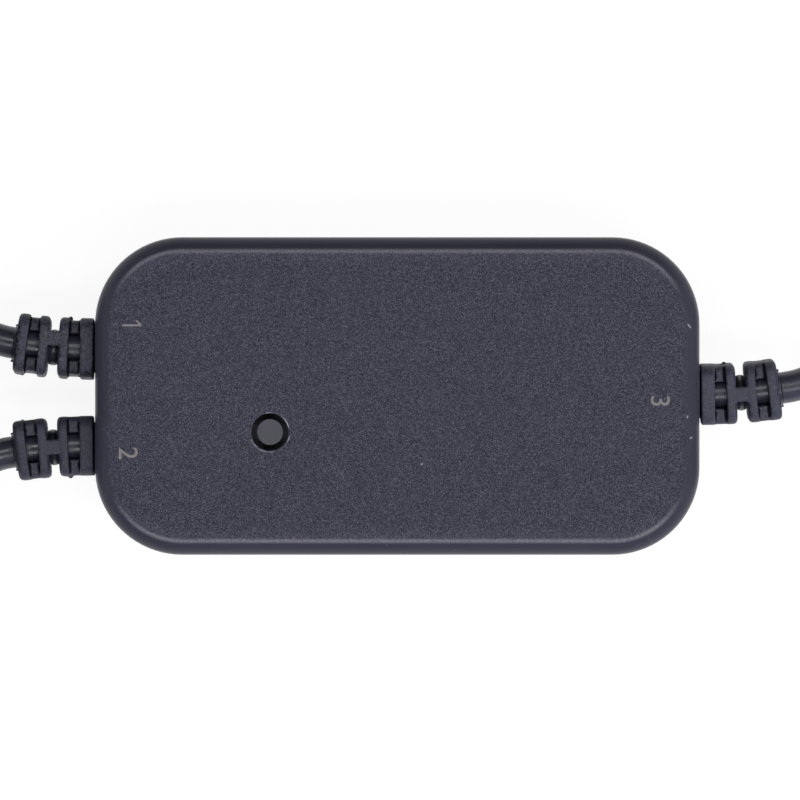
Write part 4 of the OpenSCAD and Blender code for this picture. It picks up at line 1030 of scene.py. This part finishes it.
class CONTROLLER_OT_reliefs(bpy.types.Operator):
    """Three moulded strain reliefs with ribs, side walls, bridge and sleeve"""
    bl_idname = "controller.reliefs"
    bl_label = "Strain reliefs"

    def execute(self, context):
        relief = context.scene.controller_relief
        tree = self.relief_tree()
        for which, name in enumerate(LEADS):
            route = LeadRoute(which)
            finish = finishes["relief_rough" if which == SENSOR else "relief_pvc"]
            mesh = self.stations(relief, route, relief.rolls[which])
            piece = new_piece(f"{name}_boot", mesh, "case")
            grow(piece, tree, {
                "Rib width": relief.width, "Rib rounding": relief.rounding,
                "Wall width": relief.width - 2 * relief.steps[which],
                "Wall height": relief.width - 2 * relief.wall_drop,
                "Wall rounding": relief.rounding - relief.wall_drop, "Slot width": relief.slot_width,
                "Bridge width": relief.bridge_width, "Bridge height": relief.width - 2 * relief.bridge_step,
                "Nose length": relief.nose / relief.ribs[3], "Nose drop": 2 * relief.nose / relief.width,
                "Material": finish})
            melt = piece.modifiers.new("Melt", "REMESH")
            melt.mode, melt.voxel_size = "VOXEL", relief.softness
            even = piece.modifiers.new("Soften", "SMOOTH")
            even.factor, even.iterations = 0.5, 14
            settle(piece, finish)
            measure_edges(piece.data)
            self.paint_shade(piece.data, relief, route)
            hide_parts(f"{name}_relief")
            self.sleeve(name, relief, route)
        return {"FINISHED"}

    def paint_shade(self, mesh, relief, route):
        """Paints shade on the side walls, and paints shadow in the creases where they meet the second and the
        last rib.
        """
        edge, hollow = stored(mesh, "edge"), stored(mesh, "hollow")
        x, y, z = places_of(mesh).T
        arm = relief.bend + route.sideways - (-y if route.which == OPENER else y)
        out = np.abs(x) - route.case.length / 2
        along = relief.bend * np.arctan2(out, arm)
        farthest = np.maximum(np.abs(relief.bend - np.hypot(out, arm)), np.abs(z - route.case.height / 2))
        from_depth, over = 0.0002, 0.0003
        deep = np.clip((relief.width / 2 - farthest - from_depth) / over, 0, 1)
        second = relief.neck_gap + relief.ribs[0] + relief.slots[0]
        last = second + sum(relief.ribs[1:3]) + sum(relief.slots[1:])
        for rib, slot in ((second, relief.slots[0]), (last, relief.slots[2])):
            inside = np.clip(4 - 8 * np.abs((rib - along) / relief.crease_shadows[route.which] - 0.5), 0, 1)
            between = (along > rib - slot) & (along < rib)
            # painted shadow in the crease beside the rib
            edge = np.minimum(edge, -inside * deep)
            # painted shade on the side walls of the slot before the rib
            hollow = np.maximum(hollow, relief.wall_shade[route.which] * deep * between)
        store(mesh, "edge", edge)
        store(mesh, "hollow", hollow)

    def sleeve(self, name, relief, route):
        """Smooth sleeve that shows in the slots and at the end of a relief, barrelled in the middle slot."""
        reach, radius, soft, barrel, sides = route.reach, relief.sleeve / 2, 0.00015, 0.0002, 48
        half, slot_shade = relief.slots[1] / 2, 0.7
        middle = relief.neck_gap + sum(relief.ribs[:2]) + relief.slots[0] + half
        stops = [reach * k / 16 for k in range(16)] + [middle + half * k / 5 for k in range(-5, 6)]
        stops = sorted(stops) + [reach - soft, reach - soft * 0.3, reach]
        off = [min(1.0, abs(s - middle) / half) for s in stops]
        radii = [radius - (barrel * u * u if u < 1 else 0.0) for u in off[:-2]]
        bm = bmesh.new()
        sweep(bm, [route.bent(s) for s in stops], radii + [radius - soft * 0.3, radius - soft], sides)
        mesh = mesh_of(f"{name}_sleeve", bm, finishes["sleeve"], math.radians(60))
        # painted shade on the sleeve inside the middle slot
        store(mesh, "hollow", [slot_shade if u < 1 else 0.0 for u in off for _ in range(sides)])
        new_piece(f"{name}_sleeve", mesh, "case")

    def stations(self, relief, route, roll):
        """Points for the blocks of one relief, and lines for its neck and flange."""
        turn_sign = -1 if route.which == SENSOR else 1
        base = 0.0 if route.which == POWER else math.pi
        wall, overlap = route.case.wall, 0.0002
        neck_back, flange_back, flange_front = -wall - 0.0003, -wall - 0.00148, -wall - 0.00008
        side_burrs = ((1, 0.0030, 0.0003), (-1, 0.0078, 0.0002))
        end_burr, end_burr_back = (0.00024, 0.00016, 0.00024), 0.0001
        points, edges, rows = [], [], []

        def block(kind, s, span, y=0.0, inward=False):
            tilt, heading = turn_sign * roll, base + turn_sign * s / relief.bend
            facing = (-tilt, 0.0, heading + math.pi) if inward else (tilt, 0.0, heading)
            points.append(route.bent(s, y * math.cos(roll), y * math.sin(roll)))
            rows.append((kind, facing, span, 0.0))

        def rod(low, high, radius):
            edges.append((len(points), len(points) + 1))
            for s in (low, high):
                points.append(route.bent(s))
                rows.append(("rod", (0, 0, 0), (1, 1, 1), radius))

        s = relief.neck_gap
        for k, rib in enumerate(relief.ribs):
            block("rib" if k == 0 else "nose", s + rib / 2, (rib, 1, 1), inward=k == 2)
            s += rib
            if k < 3:
                slot = relief.slots[k]
                kind, y = ("bridge", relief.bridge_places[route.which]) if k == 1 else ("wall", 0.0)
                block(kind, s + slot / 2, (slot + 2 * overlap, 1, 1), y)
                s += slot
        rod(neck_back, relief.neck_gap + overlap, relief.neck / 2)
        rod(flange_back, flange_front, relief.flange / 2)
        for side, along, size in side_burrs:
            block("burr", along, (size, size, size), side * relief.width / 2)
        for side in (-1, 1):
            block("burr", route.reach - end_burr_back, end_burr, side * relief.sleeve / 2)
        mesh = bpy.data.meshes.new("relief_stations")
        mesh.from_pydata([tuple(p) for p in points], edges, [])
        kinds, facings, spans, radii = zip(*rows)
        for kind in ("rib", "nose", "wall", "bridge", "burr"):
            store(mesh, kind, [k == kind for k in kinds], "BOOLEAN")
        store(mesh, "facing", facings, "FLOAT_VECTOR")
        store(mesh, "span", spans, "FLOAT_VECTOR")
        store(mesh, "thick", radii)
        return mesh

    def relief_tree(self):
        tree, given, result = new_tree("Strain relief", (
            "Rib width", "Rib rounding", "Wall width", "Wall height", "Wall rounding", "Slot width",
            "Bridge width", "Bridge height", "Nose length", "Nose drop"))
        stations = given["Geometry"]
        bar = first(tree, "GeometryNodeCurvePrimitiveLine", {"Start": (-0.5, 0, 0), "End": (0.5, 0, 0)})

        def attribute(name, kind):
            return first(tree, "GeometryNodeInputNamedAttribute", {"Name": name}, data_type=kind)

        def nose_scale():
            """Full size along the rib, falling in a quarter round over the nose."""
            along = tree.nodes.new("GeometryNodeSplineParameter").outputs["Factor"]
            past = calc(tree, "SUBTRACT", along, calc(tree, "SUBTRACT", 1.0, given["Nose length"]))
            into = calc(tree, "DIVIDE", past, given["Nose length"], clamp=True)
            round_off = calc(tree, "SQRT", calc(tree, "SUBTRACT", 1.0, times(tree, into, into)))
            drop = times(tree, calc(tree, "SUBTRACT", 1.0, round_off), given["Nose drop"])
            return calc(tree, "SUBTRACT", 1.0, drop)

        def bar_of(width, height, rounding=None, nosed=False):
            outline = first(tree, "GeometryNodeCurvePrimitiveQuadrilateral",
                            {"Width": width, "Height": height})
            if rounding is not None:
                fillet = {"Curve": outline, "Radius": rounding, "Count": 10}
                outline = first(tree, "GeometryNodeFilletCurve", fillet, mode="POLY")
            sweeping = {"Curve": bar, "Profile Curve": outline, "Fill Caps": True}
            if nosed:
                sweeping["Curve"] = first(tree, "GeometryNodeResampleCurve", {"Curve": bar, "Count": 24})
                sweeping["Scale"] = nose_scale()
            return first(tree, "GeometryNodeCurveToMesh", sweeping)

        rib = given["Rib width"], given["Rib width"], given["Rib rounding"]
        wall = bar_of(given["Wall width"], given["Wall height"], given["Wall rounding"])
        cut = first(tree, "ShaderNodeCombineXYZ", {0: 2.0, 1: given["Slot width"], 2: 0.1})
        cutter = first(tree, "GeometryNodeMeshCube", {"Size": cut})
        shapes = {
            "rib": bar_of(*rib),
            "nose": bar_of(*rib, nosed=True),
            "wall": first(tree, "GeometryNodeMeshBoolean", {"Mesh 1": wall, "Mesh 2": cutter},
                          operation="DIFFERENCE", solver="EXACT"),
            "bridge": bar_of(given["Bridge width"], given["Bridge height"]),
            "burr": first(tree, "GeometryNodeMeshIcoSphere", {"Radius": 1.0, "Subdivisions": 2}),
        }
        facing = first(tree, "FunctionNodeEulerToRotation", {0: attribute("facing", "FLOAT_VECTOR")})
        joined = tree.nodes.new("GeometryNodeJoinGeometry")
        for kind, shape in shapes.items():
            tree.links.new(first(tree, "GeometryNodeInstanceOnPoints", {
                "Points": stations, "Selection": attribute(kind, "BOOLEAN"), "Instance": shape,
                "Rotation": facing, "Scale": attribute("span", "FLOAT_VECTOR")}), joined.inputs[0])
        lines = first(tree, "GeometryNodeMeshToCurve", {"Mesh": stations})
        circle = first(tree, "GeometryNodeCurvePrimitiveCircle", {"Resolution": 48, "Radius": 1.0})
        tree.links.new(first(tree, "GeometryNodeCurveToMesh", {
            "Curve": lines, "Profile Curve": circle, "Scale": attribute("thick", "FLOAT"),
            "Fill Caps": True}), joined.inputs[0])
        end_tree(tree, joined.outputs[0], given["Material"], result)
        return tree


class CONTROLLER_OT_leads(bpy.types.Operator):
    """Three leads with their coils, ties, bare ends and socket"""
    bl_idname = "controller.leads"
    bl_label = "Leads"

    def execute(self, context):
        lead, socket = context.scene.controller_leads, context.scene.controller_socket
        strands = self.strand_tree()
        ties = {SENSOR: "left_tie", POWER: "right_tie"}
        for which, name in enumerate(LEADS):
            route = LeadRoute(which)
            piece = self.line(name, route.line(), lead)
            stretches = [f"{name}_lead", f"{name}_coil"] + (["power_tail"] if which == POWER else [])
            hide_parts(*stretches)
            carried = [self.tie(ties[which])] if which in ties else []
            if which == POWER:
                carried += [self.socket(socket, route), nodes["socket_sleeve"], nodes["socket_pin"]]
            else:
                carried += [self.core(name, route, lead, side, colour)
                            for side, colour in ((1, "white"), (-1, "black"))]
                carried.append(self.tips(name, route, lead, strands))
            route.world(route.exit)
        return {"FINISHED"}

    def line(self, name, path, lead):
        curve = bpy.data.curves.new(f"{name}_lead_line", "CURVE")
        curve.dimensions = "3D"
        curve.bevel_depth = lead.diameter / 2
        curve.bevel_resolution = 6
        curve.use_fill_caps = True
        spline = curve.splines.new("POLY")
        spline.points.add(len(path) - 1)
        for point, place in zip(spline.points, path):
            point.co = (*place, 1.0)
        spline.use_smooth = True
        curve.materials.append(finishes["lead_pvc"])
        return new_piece(f"{name}_lead_line", curve, "case")

    def core(self, name, route, lead, side, colour):
        """One insulated core beyond the jacket, cut square where it is stripped."""
        path = [route.core_point(side, lead.core_length * k / 28) for k in range(29)]
        bm = bmesh.new()
        sweep(bm, path, [lead.core / 2] * 28 + [lead.core / 2 * 0.94])
        return solid_piece(f"{name}_core_{colour}", bm, f"wire_{colour}", 50, f"{name}_end_{colour}")

    def tips(self, name, route, lead, tree):
        """Twisted bare strands of both cores."""
        points, edges = [], []
        for side in (-1, 1):
            edges += [(len(points) + k, len(points) + k + 1) for k in range(16)]
            points += [route.core_point(side, lead.core_length + lead.strip * k / 16) for k in range(17)]
        mesh = bpy.data.meshes.new(f"{name}_strands")
        mesh.from_pydata([tuple(p) for p in points], edges, [])
        piece = new_piece(f"{name}_strands", mesh, "case")
        grow(piece, tree, {"Strand": lead.strand / 6, "Ring": lead.strand / 3, "Twist": 9.0,
                           "Material": finishes["tinned_strand"]})
        settle(piece, finishes["tinned_strand"])
        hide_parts(f"{name}_tips")
        return piece

    def strand_tree(self):
        tree, given, result = new_tree("Twisted strands", ("Strand", "Ring", "Twist"))
        path = first(tree, "GeometryNodeMeshToCurve", {"Mesh": given["Geometry"]})
        along = tree.nodes.new("GeometryNodeSplineParameter").outputs["Factor"]
        twist = times(tree, along, given["Twist"])
        path = first(tree, "GeometryNodeSetCurveTilt", {"Curve": path, "Tilt": twist})
        ring = first(tree, "GeometryNodeMeshCircle", {"Vertices": 6, "Radius": given["Ring"]})
        heart = first(tree, "GeometryNodePoints", {"Count": 1})
        wire = first(tree, "GeometryNodeCurvePrimitiveCircle", {"Resolution": 8, "Radius": given["Strand"]})
        joined = tree.nodes.new("GeometryNodeJoinGeometry")
        for points in (ring, heart):
            tree.links.new(first(tree, "GeometryNodeInstanceOnPoints", {"Points": points, "Instance": wire}),
                           joined.inputs[0])
        bundle = first(tree, "GeometryNodeRealizeInstances", {0: joined.outputs[0]})
        rope = first(tree, "GeometryNodeCurveToMesh",
                     {"Curve": path, "Profile Curve": bundle, "Fill Caps": True})
        end_tree(tree, rope, given["Material"], result)
        return tree

    def tie(self, node):
        """Strap round a coil, with its loose end laid over the top."""
        low, high = (Vector(c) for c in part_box(node))
        thick, corner, chamfer = 0.0005, 0.0015, 0.00012
        half_x, half_y, half_z = (high - low) / 2
        middle = (low + high) / 2

        def section(place, out, slim):
            inner = half_y - chamfer
            shape = ((0, -inner), (chamfer, -half_y), (slim - chamfer, -half_y), (slim, -inner),
                     (slim, inner), (slim - chamfer, half_y), (chamfer, half_y), (0, inner))
            return [place + out * (d - slim) + Vector((0, y, 0)) for d, y in shape]

        rings = [section(middle + Vector((x, 0, z)), Vector((c, 0, s)), thick)
                 for x, z, c, s in round_corners(half_x, half_z, corner, 6)]
        bm = bmesh.new()
        skin(bm, rings + rings[:1])
        capped_skin(bm, [
            section(Vector((middle.x + half_x * u, middle.y, high.z + rise)), UP, thick * 0.8)
            for u, rise in ((0.75, 0.0002), (0.6, 0.0004), (0.0, 0.0004), (-0.55, 0.00042), (-0.72, 0.0005))])
        bmesh.ops.remove_doubles(bm, verts=bm.verts, dist=1e-7)
        return solid_piece(f"{node}_strap", bm, "tie_plastic", 35, node)

    def socket(self, socket, route):
        """Barrel socket with a ribbed tail and finger rings."""
        body, bore, soft = socket.diameter / 2, socket.bore / 2, 0.0005
        tail, front = socket.tail, socket.tail + socket.length
        tail_low, tail_high, chamfer = route.diameter / 2 + 0.00075, body - 0.001, 0.0002
        slit, ring, ring_start, ring_pitch = 0.0004, body - 0.00025, tail + 0.0035, 0.0016
        profile = [(tail_low - chamfer, 0.0), (tail_low, chamfer)]
        for h in (tail * share for share in (0.2, 0.45, 0.7)):
            r = tail_low + (tail_high - tail_low) * h / tail
            profile += [(r, h), (r - slit, h + 0.00015), (r - slit, h + 0.0007), (r + 0.0001, h + 0.00085)]
        profile += [(tail_high, tail - chamfer), (body - soft, tail)]
        profile += [(body - soft * (1 - math.sin(a)), tail + soft * (1 - math.cos(a)))
                    for a in quarter_turn(5)[1:]]
        for h in (ring_start + ring_pitch * k for k in range(4)):
            profile += [(body, h), (ring, h + 0.0002), (ring, h + 0.0006), (body, h + 0.0008)]
        profile += round_edge(body, front, soft, 5)
        profile += [(bore + chamfer, front), (bore, front - chamfer), (bore, front - socket.depth)]
        bm = bmesh.new()
        lathe(bm, profile, route.from_end(Vector(route.socket_place) / 1000), route.way_from_end((-1, 0, 0)))
        return solid_piece("socket_body", bm, "socket_pvc", 35, "power_socket")


class CONTROLLER_PT_panel(bpy.types.Panel):
    """Lists the pieces in the sidebar"""
    bl_idname = "CONTROLLER_PT_panel"
    bl_label = "Garage Door Controller"
    bl_space_type = "VIEW_3D"
    bl_region_type = "UI"
    bl_category = "Controller"

    def draw(self, context):
        for name in STEPS:
            self.layout.operator(f"controller.{name}")
        for name in GROUPS:
            box = self.layout.box()
            settings = getattr(context.scene, f"controller_{name}")
            box.label(text=name.capitalize())
            for key in settings.__annotations__:
                box.prop(settings, key)


STEPS = ("stage", "finishes", "case", "button", "reliefs", "leads")
GROUPS = {"case": CaseSettings, "button": ButtonSettings, "relief": ReliefSettings, "leads": LeadSettings,
          "socket": SocketSettings, "stage": StageSettings}
finishes = {}
classes = (*GROUPS.values(), CONTROLLER_OT_stage, CONTROLLER_OT_finishes, CONTROLLER_OT_case,
           CONTROLLER_OT_button, CONTROLLER_OT_reliefs, CONTROLLER_OT_leads, CONTROLLER_PT_panel)


def register():
    for made in classes:
        bpy.utils.register_class(made)
    for name, group in GROUPS.items():
        setattr(bpy.types.Scene, f"controller_{name}", bpy.props.PointerProperty(type=group))


def unregister():
    for name in GROUPS:
        delattr(bpy.types.Scene, f"controller_{name}")
    for made in reversed(classes):
        bpy.utils.unregister_class(made)


def main():
    register()
    bpy.ops.controller.stage()
    bpy.ops.controller.finishes()
    bpy.ops.controller.case()
    bpy.ops.controller.button()
    bpy.ops.controller.reliefs()
    bpy.ops.controller.leads()


if __name__ == "__main__":
    main()
